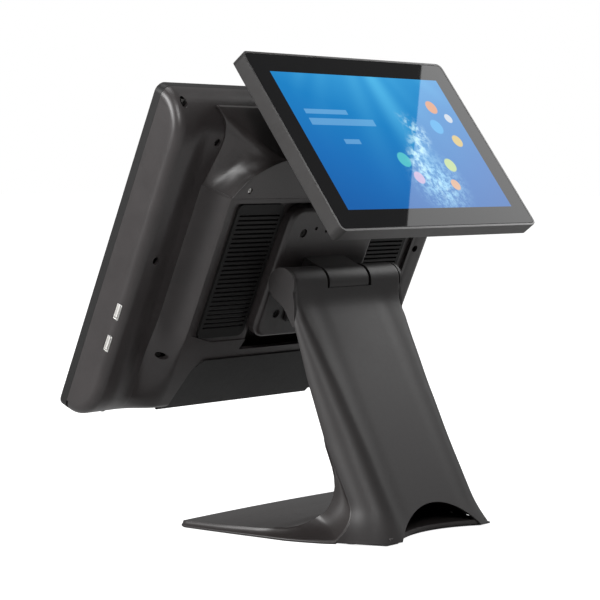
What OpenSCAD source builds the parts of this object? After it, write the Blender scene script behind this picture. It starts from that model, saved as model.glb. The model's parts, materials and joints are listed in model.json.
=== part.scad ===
// Point-of-sale touchscreen terminal with a second display for the customer.
// Millimetres, +Z up, the floor at z = 0. +Y is the customer's side and -Y the operator's side.
// The origin is on the floor, midway between the foremost and rearmost points.
// Head pieces are drawn in the head's own frame: x across, y out of its back, z up its slope,
// with the tilt hinge's axis as its origin. The customer display has such a frame of its own,
// with the middle of its screen as origin and y out of its front.

/* [Head] */
// Width of the main screen's housing
head_w = 372; // [360:1:384]
// Height of the housing, measured up its slope
head_h = 287; // [280:1:294]
// Lean of the main screen back from upright
head_tilt = 24.2; // [20:0.1:28]
// Distance of the glass in front of the hinge axis
glass_reach = 91; // [88:1:94]
// How far the housing hangs below the hinge axis, up its slope
head_drop = 150; // [146:1:154]

/* [Raised back] */
// Half width of the raised centre at its foot
rise_foot_x = 139; // [137:1:142]
// Half width of the raised centre's flat panel
rise_top_x = 130; // [127:1:131]
// Number of ventilation slots on each side
slot_count = 26; // [20:1:26]
// Distance from one slot to the next
slot_pitch = 4.05; // [3.9:0.05:4.2]

/* [Customer display] */
// Width of the customer display's case
disp_w = 259; // [250:1:262]
// Height of its case
disp_h = 174.6; // [168:0.1:178]
// Depth of its case
disp_d = 15.5; // [14:0.5:17]
// Lean of its face back from upright
disp_tilt = 36.7; // [32:0.1:40]
// Height of the middle of its screen over the floor
disp_z = 320.8; // [316:0.1:326]
// Distance of the middle of its screen behind the hinge axis
disp_reach = 61.9; // [58:0.1:66]

/* [Stand] */
// Height of the tilt hinge's axis over the floor
hinge_z = 203.5; // [200:0.5:206]
// Half width of the neck
neck_x = 71; // [70:0.5:72]
// Radius of the hinge barrel at the top of the neck
barrel_r = 14; // [13.5:0.1:14.5]
// Radius of the neck's long rear edges
neck_edge_r = 20; // [14:1:24]
// Half width of the base at its front
base_x = 115; // [108:1:120]

/* [Hidden] */
$fn = 64;
eps = 0.01;

// Colours
c_shell = [0.25, 0.24, 0.245];
c_dark = [0.1, 0.1, 0.105];
c_screen = [0.05, 0.45, 0.75];
c_steel = [0.72, 0.72, 0.74];
c_board = [0.08, 0.32, 0.18];
c_rubber = [0.06, 0.06, 0.06];

// Where the hinge axis stands, so that the origin is midway along the whole depth
head_front_y = -glass_reach * cos(head_tilt) - head_drop * sin(head_tilt);
disp_back_y = disp_reach + disp_h / 2 * sin(disp_tilt);
hinge_y = -(head_front_y + disp_back_y) / 2;

// Head: planes along its own y axis
v_low = -head_drop;
v_high = head_h - head_drop;
v_mid = (v_low + v_high) / 2;
y_glass = -glass_reach;
frame_d = 8;
y_seam = y_glass + frame_d;
y_rim = -52;
y_band = -56;
y_panel = -29;
y_grille = y_panel - 3;
y_plate = -21.3;
wall = 2.5;
corner_r = 8;
rim_r = 9;
rim_w = 14;
top_r = 32;
foot_r = 25;
seam_v = 64;
slope_v = -62;
skirt_y = -51;
skirt_v = -136;
bay_x = 97;
bay_top = [-35, -87];
bay_foot = [-64.5, -150];
bay_slope = atan2(bay_top[0] - bay_foot[0], bay_top[1] - bay_foot[1]);
bay_t = 2.4;
hood_edge_v = 98;
hood_edge_x = 77;
hood_top_v = 128;
glass_gap = 4;
glass_t = 3;
lcd_w = 326;
lcd_h = 253;
lcd_t = 9;
slot_h = 1.7;
recess_x = 127;
grille_in_x = 61;
grille_out_x = 117;
slot_v0 = -52.8;
vesa = 75;
plate_w = 116;
plate_h = 120;
plate_mid_v = -2;
plate_r = 14;
usb_v = [-48, -76.5];
flank_screw = [133, -45.6, -85];
usb_y = -59;
usb_w = 5.4;
button_y = -77;
usb_h = 13.4;

// Stand: side outline, measured from the hinge axis in y and from the floor in z
floor_gap = 2;
base_front_y = -76;
base_rear_y = 112;
rear_slope = 0.5366;
rear_foot_y = 114.7;
rear_lean = atan(rear_slope);
cover_depth_y = 25.4;
front_slope = 0.384;
front_top_z = 169.6;
front_top_y = 12;
knuckle_x = 26.7;
notch_x = 28;
knuckle_r = 12.4;
shaft_r = 4;
shaft_fit = 0.05;
bracket_x = 34;
bracket_t = 5;
cap_t = 3;
screw_r = 1.5;
arch_x = 48;
arch_z = 26;
spine_screw_x = [-45, 0, 45];
spine_screw_z = 125;
throat = [2.3, 184.8];
nape_z = 194.5;

function rear_y(z) = rear_foot_y - rear_slope * z;
function parting_y(z) = rear_y(z) - cover_depth_y;
function front_y(z) = front_top_y + front_slope * (front_top_z - z);

// ---- helpers ----

// Extrudes an outline drawn in y and z along x, centred
module across(w) {
    rotate([90, 0, 90])
        linear_extrude(height = w, center = true)
            children();
}

// Extrudes an outline drawn in x and z along y, from y0 to y1
module facing(y0, y1) {
    translate([0, y1, 0])
        rotate([90, 0, 0])
            linear_extrude(height = y1 - y0)
                children();
}

// Extrudes an outline drawn in x and y along z, from z0 to z1
module rising(z0, z1) {
    translate([0, 0, z0])
        linear_extrude(height = z1 - z0)
            children();
}

module rounded(w, h, r) {
    square([w - 2 * r, h], center = true);
    square([w, h - 2 * r], center = true);
    for (sx = [-1, 1], sy = [-1, 1])
        translate([sx * (w / 2 - r), sy * (h / 2 - r)])
            circle(r);
}

// A rectangle from a to b; the two corners at the far end of its first axis are round,
// with radius r at its low side and top_r at its high side
module soft_end(a, b, r, top_r) {
    intersection() {
        translate(a)
            square(b - a);
        union() {
            translate([a[0], a[1] + r])
                square([b[0] - a[0], b[1] - a[1] - r - top_r]);
            translate(a)
                square([b[0] - a[0] - max(r, top_r), b[1] - a[1]]);
            translate([b[0] - r, a[1] + r])
                circle(r);
            translate([b[0] - top_r, b[1] - top_r])
                circle(top_r);
        }
    }
}

module pin_x(r, x0, x1) {
    translate([x0, 0, 0])
        rotate([0, 90, 0])
            cylinder(r = r, h = x1 - x0);
}

module pin_y(r, y0, y1) {
    translate([0, y0, 0])
        rotate([-90, 0, 0])
            cylinder(r = r, h = y1 - y0);
}

module both_sides() {
    children();
    mirror([1, 0, 0])
        children();
}

module in_stand() {
    translate([0, hinge_y, 0])
        children();
}

module in_head() {
    translate([0, hinge_y, hinge_z])
        rotate([-head_tilt, 0, 0])
            children();
}

module in_display() {
    translate([0, hinge_y + disp_reach, disp_z])
        rotate([disp_tilt, 0, 0])
            children();
}

// A pan-head screw along y, its head's top at y = 0 and its shank towards -y
module screw_y(head_r = 3, head_t = 2, shank = 6) {
    difference() {
        union() {
            pin_y(head_r, -head_t, 0);
            pin_y(screw_r, -head_t - shank, -head_t);
        }
        translate([-head_r * 0.6, -0.8, -0.3])
            cube([head_r * 1.2, 1, 0.6]);
        translate([-0.3, -0.8, -head_r * 0.6])
            cube([0.6, 1, head_r * 1.2]);
    }
}

// Hole and counterbore for a screw whose head's top is at y = 0
module screw_seat(head_r, head_t = 1.1) {
    pin_y(head_r, -head_t, 4);
    pin_y(screw_r + 0.1, -9, 0);
}

// ---- stand ----

// Footprint of the base, seen from above
module base_outline(inset = 0) {
    difference() {
        intersection() {
            translate([0, (base_front_y + base_rear_y) / 2])
                rounded(2 * (base_x - inset), base_rear_y - base_front_y - 2 * inset, 12);
            polygon([[-base_x + inset, base_front_y], [base_x - inset, base_front_y],
                [base_x - 12 - inset, 30], [84 - inset, 80], [neck_x - inset, base_rear_y],
                [-neck_x + inset, base_rear_y], [-84 + inset, 80], [-base_x + 12 + inset, 30]]);
        }
        // the cable bay's scallop in the rear edge
        translate([0, base_rear_y + 78])
            circle(95 + inset, $fn = 96);
    }
}

// Side outline of the base plate, thin at the front
module plate_profile() {
    polygon([[base_front_y, floor_gap], [base_front_y, 6.5], [base_front_y + 4, 8],
        [-20, 12.5], [40, 15], [parting_y(15) - 0.2, 15], [parting_y(floor_gap) - 0.2, floor_gap]]);
}

// Side outline of the fillet that carries the base up into the neck's front
module fillet_profile() {
    fillet_r = 30;
    fillet_z = 14.6 + fillet_r;
    fillet_y = front_y(fillet_z) - fillet_r;
    difference() {
        polygon([[fillet_y, 10], [fillet_y, 14.6], [front_y(fillet_z), fillet_z], [front_y(80), 80],
            [parting_y(10) - 0.2, 10]]);
        translate([fillet_y, fillet_z])
            circle(fillet_r, $fn = 96);
    }
}

// Side outline of the casting's spine, inside the neck
module spine_profile() {
    polygon([[parting_y(40) - 2, 40], [parting_y(72) - 1, 72], [front_y(80) + 0.6, 80],
        [front_top_y + 0.6, front_top_z], throat + [0.6, 0], throat + [6, 0],
        [front_top_y + 6, front_top_z], [front_y(80) + 6, 80], [parting_y(40) + 5, 40]]);
}

module stand_casting() {
    color(c_shell)
        in_stand()
            difference() {
                union() {
                    intersection() {
                        across(2 * base_x + 10)
                            plate_profile();
                        rising(0, 20)
                            base_outline();
                    }
                    across(2 * neck_x)
                        fillet_profile();
                    intersection() {
                        across(2 * neck_x)
                            spine_profile();
                        neck_channel(wall + 0.3);
                    }
                    // floor of the cable bay, behind the parting line
                    rising(floor_gap + 2, 7)
                        intersection() {
                            base_outline(4);
                            translate([-neck_x + 4, 60])
                                square([2 * neck_x - 8, 28]);
                        }
                }
                // hollow under the base for the ballast
                rising(floor_gap - 1, 6)
                    intersection() {
                        base_outline(4);
                        translate([-base_x, base_front_y + 8])
                            square([2 * base_x, 110]);
                    }
                for (x = spine_screw_x)
                    translate([x, 0, spine_screw_z]) {
                        pin_y(screw_r + 0.1, 0, 60);
                        pin_y(3, 0, front_y(spine_screw_z) + 2.1);
                    }
                for (p = screw_places())
                    translate([p[0], p[1], 0])
                        cylinder(r = screw_r + 0.1, h = 7.8);
            }
}

module base_bottom_cover() {
    color(c_dark)
        in_stand()
            difference() {
                rising(0.8, floor_gap - eps)
                    base_outline(2);
                for (p = screw_places())
                    translate([p[0], p[1], 0])
                        cylinder(r = screw_r + 0.15, h = 4);
            }
}

function screw_places() = [[-92, -50], [92, -50], [0, -58], [-74, 66], [74, 66]];

module bottom_screws() {
    color(c_steel)
        in_stand()
            for (p = screw_places())
                translate([p[0], p[1], 0]) {
                    cylinder(r = screw_r, h = 7.6);
                    translate([0, 0, 0.2])
                        cylinder(r = 2.8, h = 0.6 - eps);
                }
}

module base_ballast() {
    color(c_steel)
        in_stand()
            rising(floor_gap + 0.1, 5.8)
                difference() {
                    intersection() {
                        base_outline(7);
                        translate([-base_x + 24, base_front_y + 12])
                            square([2 * base_x - 48, 96]);
                    }
                    for (p = screw_places())
                        translate(p)
                            circle(4);
                }
}

module rubber_feet() {
    color(c_rubber)
        in_stand()
            both_sides() {
                translate([91, -64, 0])
                    cylinder(r = 6, h = 0.8 - eps);
                translate([73, 78, 0])
                    cylinder(r = 6.5, h = 0.8 - eps);
            }
}

// Long bar along the neck's rear face, with its two rear edges rounded
module neck_channel(inset = 0) {
    translate([0, rear_y(0) - inset / cos(rear_lean), 0])
        rotate([rear_lean, 0, 0])
            rising(-40, 280)
                rotate([0, 0, 90])
                    soft_end([-90, -neck_x + inset], [0, neck_x - inset],
                        neck_edge_r - inset, neck_edge_r - inset);
}

module neck_profile() {
    polygon([[rear_y(floor_gap), floor_gap], [rear_y(nape_z), nape_z], [0, hinge_z - barrel_r + 6],
        [-9.9, 193.6], throat, [front_top_y, front_top_z], [front_y(80), 80],
        [parting_y(floor_gap), floor_gap]]);
}

// Side outline of the caps: a disc with a tail that fades into the neck's edge
module cap_profile(grow = 0) {
    translate([0, hinge_z])
        circle(barrel_r + grow);
    polygon([[-9.9 - grow, 193.6], throat + [-grow, -grow], [front_top_y - grow, front_top_z - 2 * grow],
        [front_top_y + 2.4 + grow, front_top_z - 2 * grow], [barrel_r + grow, 186], [12.5, 197]]);
}

module neck_rear_cover() {
    color(c_shell)
        in_stand()
            difference() {
                union() {
                    intersection() {
                        across(2 * neck_x)
                            neck_profile();
                        neck_channel();
                    }
                    // barrel sleeves on both sides of the knuckle
                    both_sides()
                        translate([0, 0, hinge_z])
                            pin_x(barrel_r, notch_x - 2, neck_x - cap_t);
                }
                intersection() {
                    neck_channel(wall);
                    rising(-10, nape_z - 4)
                        translate([-neck_x, -100])
                            square([2 * neck_x, 240]);
                }
                both_sides() {
                    translate([0, 0, hinge_z])
                        pin_x(barrel_r - wall, notch_x - 3, neck_x);
                    // slot that the bracket passes through
                    translate([bracket_x + bracket_t / 2, 0, 0])
                        across(bracket_t + 0.6)
                            polygon([[-2.6, hinge_z - 3], [9, hinge_z - 3], throat + [12, 0], throat + [12, -5],
                                throat + [2, -5], throat + [0.7, 0.3]]);
                }
                // room for the knuckle and its strap
                translate([0, 0, hinge_z])
                    pin_x(barrel_r + 0.2, -notch_x, notch_x);
                translate([-notch_x, -40, hinge_z - 4])
                    cube([2 * notch_x, 80, 40]);
                translate([-notch_x, -40, hinge_z - 30])
                    cube([2 * notch_x, 43, 60]);
                // seats of the caps
                both_sides()
                    translate([neck_x - cap_t / 2 + 0.05, 0, 0])
                        across(cap_t + 0.1)
                            cap_profile(0.15);
                // arch for the cables
                across_arch();
            }
    // bosses for the spine's screws
    color(c_shell)
        in_stand()
            for (x = spine_screw_x)
                translate([x, 0, spine_screw_z])
                    difference() {
                        pin_y(3.5, front_y(spine_screw_z) + 6.6, rear_y(spine_screw_z) - 3);
                        pin_y(screw_r + 0.1, 0, front_y(spine_screw_z) + 11);
                    }
}

module across_arch() {
    arch_r = (arch_x * arch_x + arch_z * arch_z) / (2 * arch_z);
    translate([0, 60, arch_z - arch_r])
        pin_y(arch_r, 0, 90);
}

module neck_cover_screws() {
    color(c_steel)
        in_stand()
            for (x = spine_screw_x)
                translate([x, front_y(spine_screw_z) + 0.4, spine_screw_z])
                    mirror([0, 1, 0])
                        screw_y(2.8, 1.6, 8);
}

module hinge_cap() {
    translate([neck_x - cap_t / 2, 0, 0])
        across(cap_t - 0.02)
            cap_profile();
}

module hinge_cap_right() {
    color(c_shell)
        in_stand()
            hinge_cap();
}

module hinge_cap_left() {
    color(c_shell)
        in_stand()
            mirror([1, 0, 0])
                hinge_cap();
}

// Steel ear that carries the shaft and reaches down the spine
module hinge_bracket() {
    translate([bracket_x + bracket_t / 2, 0, 0])
        difference() {
            union() {
                across(bracket_t)
                    translate([0, hinge_z])
                        circle(10.5);
                across(bracket_t)
                    polygon([[-2, hinge_z - 4], [8, hinge_z - 4], throat + [10, 0],
                        [front_y(160) + 10, 160], [front_y(150) + 10, 150], [front_y(150) + 6.4, 150],
                        [front_top_y + 6.4, front_top_z + 0.2], throat + [6.4, 0.6],
                        throat + [1, 0.6]]);
            }
            translate([-bracket_t, 0, hinge_z])
                pin_x(shaft_r, 0, 2 * bracket_t);
        }
}

module hinge_bracket_right() {
    color(c_steel)
        in_stand()
            hinge_bracket();
}

module hinge_bracket_left() {
    color(c_steel)
        in_stand()
            mirror([1, 0, 0])
                hinge_bracket();
}

module hinge_shaft() {
    color(c_steel)
        in_stand()
            translate([0, 0, hinge_z])
                pin_x(shaft_r, -52, 52);
}

module friction_washers() {
    color(c_steel)
        in_stand()
            both_sides()
                translate([0, 0, hinge_z])
                    for (x = [knuckle_x + 0.4, knuckle_x + 2.8, bracket_x + bracket_t + 0.2])
                        difference() {
                            pin_x(8.5, x, x + 1.8);
                            pin_x(shaft_r, x - 1, x + 3);
                        }
}

module shaft_nuts() {
    color(c_steel)
        in_stand()
            both_sides()
                translate([bracket_x + bracket_t + 2.2, 0, hinge_z])
                    rotate([0, 90, 0])
                        difference() {
                            cylinder(r = 7.5, h = 6, $fn = 6);
                            translate([0, 0, -1])
                                cylinder(r = shaft_r, h = 8);
                        }
}

// ---- head ----

module front_frame() {
    color(c_dark)
        in_head()
            translate([0, 0, v_mid])
                difference() {
                    facing(y_glass, y_seam)
                        rounded(head_w, head_h, corner_r);
                    facing(y_glass - 1, y_glass + glass_t + 0.1)
                        rounded(head_w - glass_gap + 0.4, head_h - glass_gap + 0.4, corner_r - 2);
                    facing(y_glass - 1, y_seam + 1)
                        rounded(lcd_w + 6, lcd_h + 6, 3);
                }
}

module touch_glass() {
    color(c_screen)
        in_head()
            translate([0, 0, v_mid])
                facing(y_glass, y_glass + glass_t)
                    rounded(head_w - glass_gap, head_h - glass_gap, corner_r - 2);
}

module lcd_panel() {
    color(c_steel)
        in_head()
            translate([0, 0, v_mid])
                facing(y_glass + glass_t + 0.05, y_glass + glass_t + lcd_t)
                    rounded(lcd_w, lcd_h, 2);
}

// The housing's outer form behind the frame, drawn in by inset on every side
module cover_form(inset = 0) {
    x = head_w / 2 - inset;
    y1 = y_rim - inset;
    intersection() {
        translate([0, 0, v_mid])
            facing(y_seam - 1, y_rim)
                rounded(2 * x, head_h - 2 * inset, corner_r - inset / 2);
        across(head_w)
            soft_end([y_seam, v_low + inset], [y1, v_high - inset], foot_r - inset, top_r - inset);
        rising(v_low, v_high)
            rotate([0, 0, 90])
                soft_end([y_seam, -x], [y1, x], rim_r - inset, rim_r - inset);
    }
}

// Ground between the rim and the raised centre
module band_outline(inset = 0) {
    translate([0, v_mid - 18])
        rounded(head_w - 2 * rim_w - 2 * inset, head_h + 12 - 2 * inset, 22);
}

module rear_cover() {
    hole_x = rise_foot_x - 12;
    color(c_shell)
        in_head()
            difference() {
                cover_form();
                facing(y_band, y_rim + 1)
                    band_outline();
                intersection() {
                    cover_form(wall);
                    union() {
                        facing(y_seam - 1, y_band - wall)
                            translate([0, v_mid])
                                square([head_w, head_h], center = true);
                        facing(y_band - wall - 1, y_rim)
                            difference() {
                                translate([0, v_mid])
                                    square([head_w, head_h], center = true);
                                band_outline(-wall);
                            }
                    }
                }
                // opening under the raised centre
                facing(y_band - wall - 2, y_rim + 1)
                    translate([0, -3])
                        rounded(2 * hole_x, 232, 10);
                bay_slab(bay_x, -90, bay_t + 0.1);
                for (v = usb_v)
                    translate([head_w / 2 - 11.6, usb_y - usb_w / 2 - 0.1, v - usb_h / 2 - 0.1])
                        cube([14, usb_w + 0.2, usb_h + 0.2]);
                for (p = case_screw_places())
                    translate([p[0], 0, p[2]]) {
                        pin_y(2.4, p[1] - 4.1, y_rim + 1);
                        pin_y(screw_r + 0.1, p[1] - 12, y_rim);
                    }
                // bay for the connectors in the underside
                translate([-62, -81.2, v_low - 1])
                    cube([124, 12.4, 8]);
                translate([150, button_y, v_low - 1])
                    cylinder(r = 4.3, h = 8);
            }
}

// Each screw's x, the surface it sinks into and its place up the slope
function case_screw_places() = [[168, y_rim - 4, 0], [-168, y_rim - 4, 0], [136, y_band, 101],
    [-136, y_band, 101], [176, y_rim - 12, 130], [-176, y_rim - 12, 130]];

module case_screws() {
    color(c_steel)
        in_head()
            for (p = case_screw_places())
                translate([p[0], p[1] - 2.6, p[2]])
                    screw_y(2.2, 1.4, 5);
}

// Side slopes of the raised centre, seen along its height
module rise_section(inset = 0) {
    polygon([[-rise_foot_x + inset * 1.1, y_band], [rise_foot_x - inset * 1.1, y_band],
        [rise_top_x - inset * 1.1, y_panel - inset], [-rise_top_x + inset * 1.1, y_panel - inset]]);
}

// Outline of the raised centre seen from the side: it slopes away towards its foot
module rise_profile(inset, high) {
    polygon([[y_band, skirt_v - 1 + inset], [skirt_y - inset, skirt_v + inset],
        [y_panel - inset, slope_v + inset / 2], [y_panel - inset, high], [y_band, high]]);
}

// Slab under the slope over the connectors, from depth d0 to depth d1, x to either side
module bay_slab(x, d0, d1) {
    translate([0, bay_top[0], bay_top[1]])
        rotate([-bay_slope, 0, 0])
            facing(-d1, -d0)
                polygon([[-x, -100], [x, -100], [x, -10], [x - 9, 4], [9 - x, 4], [-x, -10]]);
}

module rise_low_form(inset, high) {
    intersection() {
        rising(v_low, high)
            rise_section(inset);
        across(2 * rise_foot_x)
            rise_profile(inset, high);
    }
}

module vent_frame() {
    color(c_shell)
        in_head()
            difference() {
                rise_low_form(0, seam_v);
                difference() {
                    rise_low_form(wall, seam_v + 1);
                    facing(y_panel - 8, y_panel)
                        translate([0, 5])
                            square([2 * rise_top_x, 140], center = true);
                }
                // recess for the grilles and the mounting plate, with a pocket below the plate
                facing(y_grille, y_panel + 1)
                    polygon([[-recess_x, 60], [-recess_x, -58.5], [-96, -67.5], [96, -67.5],
                        [recess_x, -58.5], [recess_x, 60]]);
                facing(y_panel - 7, y_panel + 1)
                    translate([0, -70])
                        square([104, 20], center = true);
                both_sides()
                    facing(y_panel - 12, y_panel)
                        translate([(grille_in_x + grille_out_x) / 2, -2])
                            square([grille_out_x - grille_in_x - 6, 106], center = true);
                facing(y_panel - 12, y_panel)
                    translate([0, -2])
                        square([84, 84], center = true);
                bay_slab(bay_x, -90, bay_t + 0.1);
                both_sides()
                    translate(flank_screw)
                        screw_seat(2.1);
            }
}

module flank_screws() {
    color(c_steel)
        in_head()
            both_sides()
                translate(flank_screw)
                    screw_y(2, 1, 5);
}

module vent_grille() {
    difference() {
        facing(y_grille + 0.05, y_panel - 0.8)
            translate([(grille_in_x + grille_out_x) / 2, -2])
                rounded(grille_out_x - grille_in_x - 0.6, 121, 6);
        for (i = [0 : slot_count - 1])
            translate([grille_in_x + 3, y_panel - 8, slot_v0 + i * slot_pitch - slot_h / 2])
                cube([grille_out_x - grille_in_x - 7, 10, slot_h]);
    }
}

module vent_grille_right() {
    color(c_dark)
        in_head()
            vent_grille();
}

module vent_grille_left() {
    color(c_dark)
        in_head()
            mirror([1, 0, 0])
                vent_grille();
}

// Closes the slope over the connector bay
module connector_bay_cover() {
    color(c_shell)
        in_head()
            intersection() {
                bay_slab(bay_x - 0.2, 0, bay_t);
                translate([-bay_x, -80, v_low + 0.4])
                    cube([2 * bay_x, 60, bay_top[1] - v_low - 0.6]);
            }
}

// Upper part of the raised centre: a bevelled top whose corners flare out to the head's corners
module hood_form(inset = 0) {
    low = inset > 0 ? seam_v - 1 : seam_v + 0.05;
    hull()
        for (side = [-1, 1], corner = [[rise_foot_x - 1, y_band, low], [rise_top_x, y_panel - inset, low],
                [hood_edge_x, y_panel - inset, hood_edge_v - inset / 2],
                [rise_foot_x - 2, y_band, hood_top_v - inset * 1.4]])
            translate([side * (corner[0] - inset * 1.1), corner[1], corner[2]])
                cube(eps, center = true);
}

module hood_cover() {
    color(c_shell)
        in_head()
            difference() {
                hood_form();
                hood_form(wall);
                both_sides()
                    translate([111, y_panel - 1.1, 71])
                        screw_seat(2.1);
            }
}

module hood_screws() {
    color(c_steel)
        in_head()
            both_sides()
                translate([111, y_panel - 1.1, 71])
                    screw_y(2, 1, 3);
}

module chassis_plate() {
    color(c_steel)
        in_head()
            difference() {
                facing(-78.5, -77)
                    translate([0, v_mid])
                        rounded(338, 262, 4);
                facing(-80, -76)
                    for (x = [-120, 120], v = [-90, 70])
                        translate([x, v])
                            circle(6);
            }
}

module mainboard() {
    color(c_board)
        in_head()
            difference() {
                facing(-71, -69.4)
                    translate([0, -22])
                        square([170, 170], center = true);
                for (x = [-80, 80], v = [-102, 58])
                    translate([x, 0, v])
                        pin_y(1.7, -73, -68);
            }
}

module heat_sink() {
    color(c_steel)
        in_head()
            translate([-20, 0, -10]) {
                translate([-35, -69.3, -30])
                    cube([70, 4, 60]);
                for (i = [0 : 8])
                    translate([-34 + i * 8.2, -65.3, -30])
                        cube([1.8, 9, 60]);
            }
}

module memory_module() {
    color(c_board)
        in_head()
            translate([46, -69.3, -8])
                cube([30, 4, 67]);
}

module solid_state_drive() {
    color(c_dark)
        in_head()
            translate([94, -76.9, -60])
                cube([30, 7, 80]);
}

module touch_controller() {
    color(c_board)
        in_head()
            translate([-124, -76.9, 20])
                cube([30, 4, 50]);
}

module wireless_antenna() {
    color(c_board)
        in_head()
            translate([-60, -76.9, 92])
                cube([70, 3, 18]);
}

module speaker() {
    translate([132, -76.9, -118])
        difference() {
            cube([34, 11, 46]);
            translate([17, 6, 23])
                pin_y(13, 0, 6);
        }
}

module speaker_right() {
    color(c_dark)
        in_head()
            speaker();
}

module speaker_left() {
    color(c_dark)
        in_head()
            mirror([1, 0, 0])
                speaker();
}

// A metal socket shell with its tongue, opening in the right-hand side wall
module usb_port(v) {
    translate([head_w / 2 - 11.5, usb_y, v])
        difference() {
            translate([0, -usb_w / 2, -usb_h / 2])
                cube([11, usb_w, usb_h]);
            difference() {
                translate([1.5, -usb_w / 2 + 0.5, -usb_h / 2 + 0.5])
                    cube([12, usb_w - 1, usb_h - 1]);
                translate([0, -usb_w / 2 + 0.5, -usb_h / 2 + 1])
                    cube([9.5, 1.8, usb_h - 2]);
            }
        }
}

module usb_port_upper() {
    color(c_steel)
        in_head()
            usb_port(usb_v[0]);
}

module usb_port_lower() {
    color(c_steel)
        in_head()
            usb_port(usb_v[1]);
}

// Row of sockets that face down out of the underside
module rear_connectors() {
    color(c_dark)
        in_head()
            difference() {
                translate([-61.5, -81, v_low + 0.4])
                    cube([123, 12, 11.5]);
                // power inlet round its pin
                translate([-50, -75, v_low])
                    difference() {
                        cylinder(r = 3.2, h = 9);
                        cylinder(r = 1.1, h = 9);
                    }
                for (x = [-34, -14, 6])
                    translate([x, -77, v_low])
                        cube([12.4, 3.6, 9.5]);
                for (x = [28, 45])
                    translate([x, -77, v_low])
                        cube([12, 3.8, 9.5]);
            }
}

module mount_plate() {
    hub = vesa / 2;
    color(c_shell)
        in_head()
            translate([0, 0, plate_mid_v])
                difference() {
                    union() {
                        facing(y_grille + 0.1, y_plate - 3)
                            rounded(plate_w, plate_h, plate_r);
                        facing(y_plate - 4.5, y_plate - 1.2)
                            rounded(plate_w - 2.4, plate_h - 2.4, plate_r);
                        facing(y_plate - 3, y_plate)
                            rounded(plate_w - 5, plate_h - 5, plate_r - 1);
                    }
                    for (x = [-hub, hub], v = [-hub, hub])
                        translate([x, 0, v]) {
                            pin_y(2.2, y_grille - 2, y_plate + 1);
                            pin_y(4, y_plate - 3, y_plate + 1);
                        }
                    for (x = [-23, 23])
                        translate([x, 0, vesa / 2 + 2])
                            pin_y(1.4, y_plate - 5, y_plate + 1);
                }
}

module mount_plate_screws() {
    hub = vesa / 2;
    color(c_steel)
        in_head() {
            for (x = [-hub, hub], v = [-hub, hub])
                translate([x, y_plate - 1.2, v + plate_mid_v])
                    screw_y(3.4, 1.8, 12);
            // standoffs that carry the plate from the chassis
            for (x = [-hub, hub], v = [-hub, hub])
                translate([x, 0, v + plate_mid_v])
                    difference() {
                        pin_y(4, -76.9, -72);
                        pin_y(screw_r, -77, -71);
                    }
        }
}

module hinge_knuckle() {
    color(c_shell)
        in_head()
            difference() {
                union() {
                    pin_x(knuckle_r, -knuckle_x, knuckle_x);
                    across(2 * knuckle_x)
                        polygon([[y_plate + 0.02, 13.4], [-6, 12.9], [1, knuckle_r - 0.1], [1, -9],
                            [-10, -8], [y_plate + 3, -8], [y_plate + 3, -46], [y_plate + 0.02, -46]]);
                }
                pin_x(shaft_r + shaft_fit, -40, 40);
                for (x = [-16, 16], v = [-20, -38])
                    translate([x, 0, v])
                        pin_y(1.9, y_plate - 1, y_plate + 4);
            }
}

// ---- customer display arm, on the head ----

arm_x = 26;
tongue_x = 13;
ear_t = 4;
disp_axis_y = -disp_d - 9;
ear_r = 7;
disp_pin_r = 3;

// The display's hinge axis, in the head's frame
function turn(p, a) = [p[0] * cos(a) - p[1] * sin(a), p[0] * sin(a) + p[1] * cos(a)];
disp_axis = turn([disp_reach, disp_z - hinge_z] + turn([disp_axis_y, 0], disp_tilt), head_tilt);

module display_arm() {
    foot_y = y_panel - 14;
    color(c_shell)
        in_head()
            difference() {
                union() {
                    across(2 * arm_x)
                        polygon([[foot_y + 3.5, disp_axis[1] + 8], [disp_axis[0] - 13, disp_axis[1] + 6],
                            [disp_axis[0] - 13, disp_axis[1] - 7], [y_panel + 4, disp_axis[1] - 14],
                            [y_panel + 0.1, disp_axis[1] - 14], [foot_y + 14.2, hood_edge_v + 1.2]]);
                    across(2 * tongue_x)
                        union() {
                            translate(disp_axis)
                                circle(ear_r);
                            translate([disp_axis[0] - 14, disp_axis[1] - 6])
                                square([14, 12]);
                        }
                }
                translate([0, disp_axis[0], disp_axis[1]])
                    pin_x(disp_pin_r, -arm_x, arm_x);
                for (x = [-20, 20])
                    translate([x, y_panel + 6, disp_axis[1] - 11])
                        screw_seat(2);
            }
}

module display_arm_screws() {
    color(c_steel)
        in_head()
            for (x = [-20, 20])
                translate([x, y_panel + 6, disp_axis[1] - 11])
                    screw_y(1.9, 1, 2);
}

module display_hinge_pin() {
    color(c_steel)
        in_head()
            translate([0, disp_axis[0], disp_axis[1]])
                pin_x(disp_pin_r, -tongue_x - ear_t - 1.5, tongue_x + ear_t + 1.5);
}

// ---- customer display ----

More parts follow.
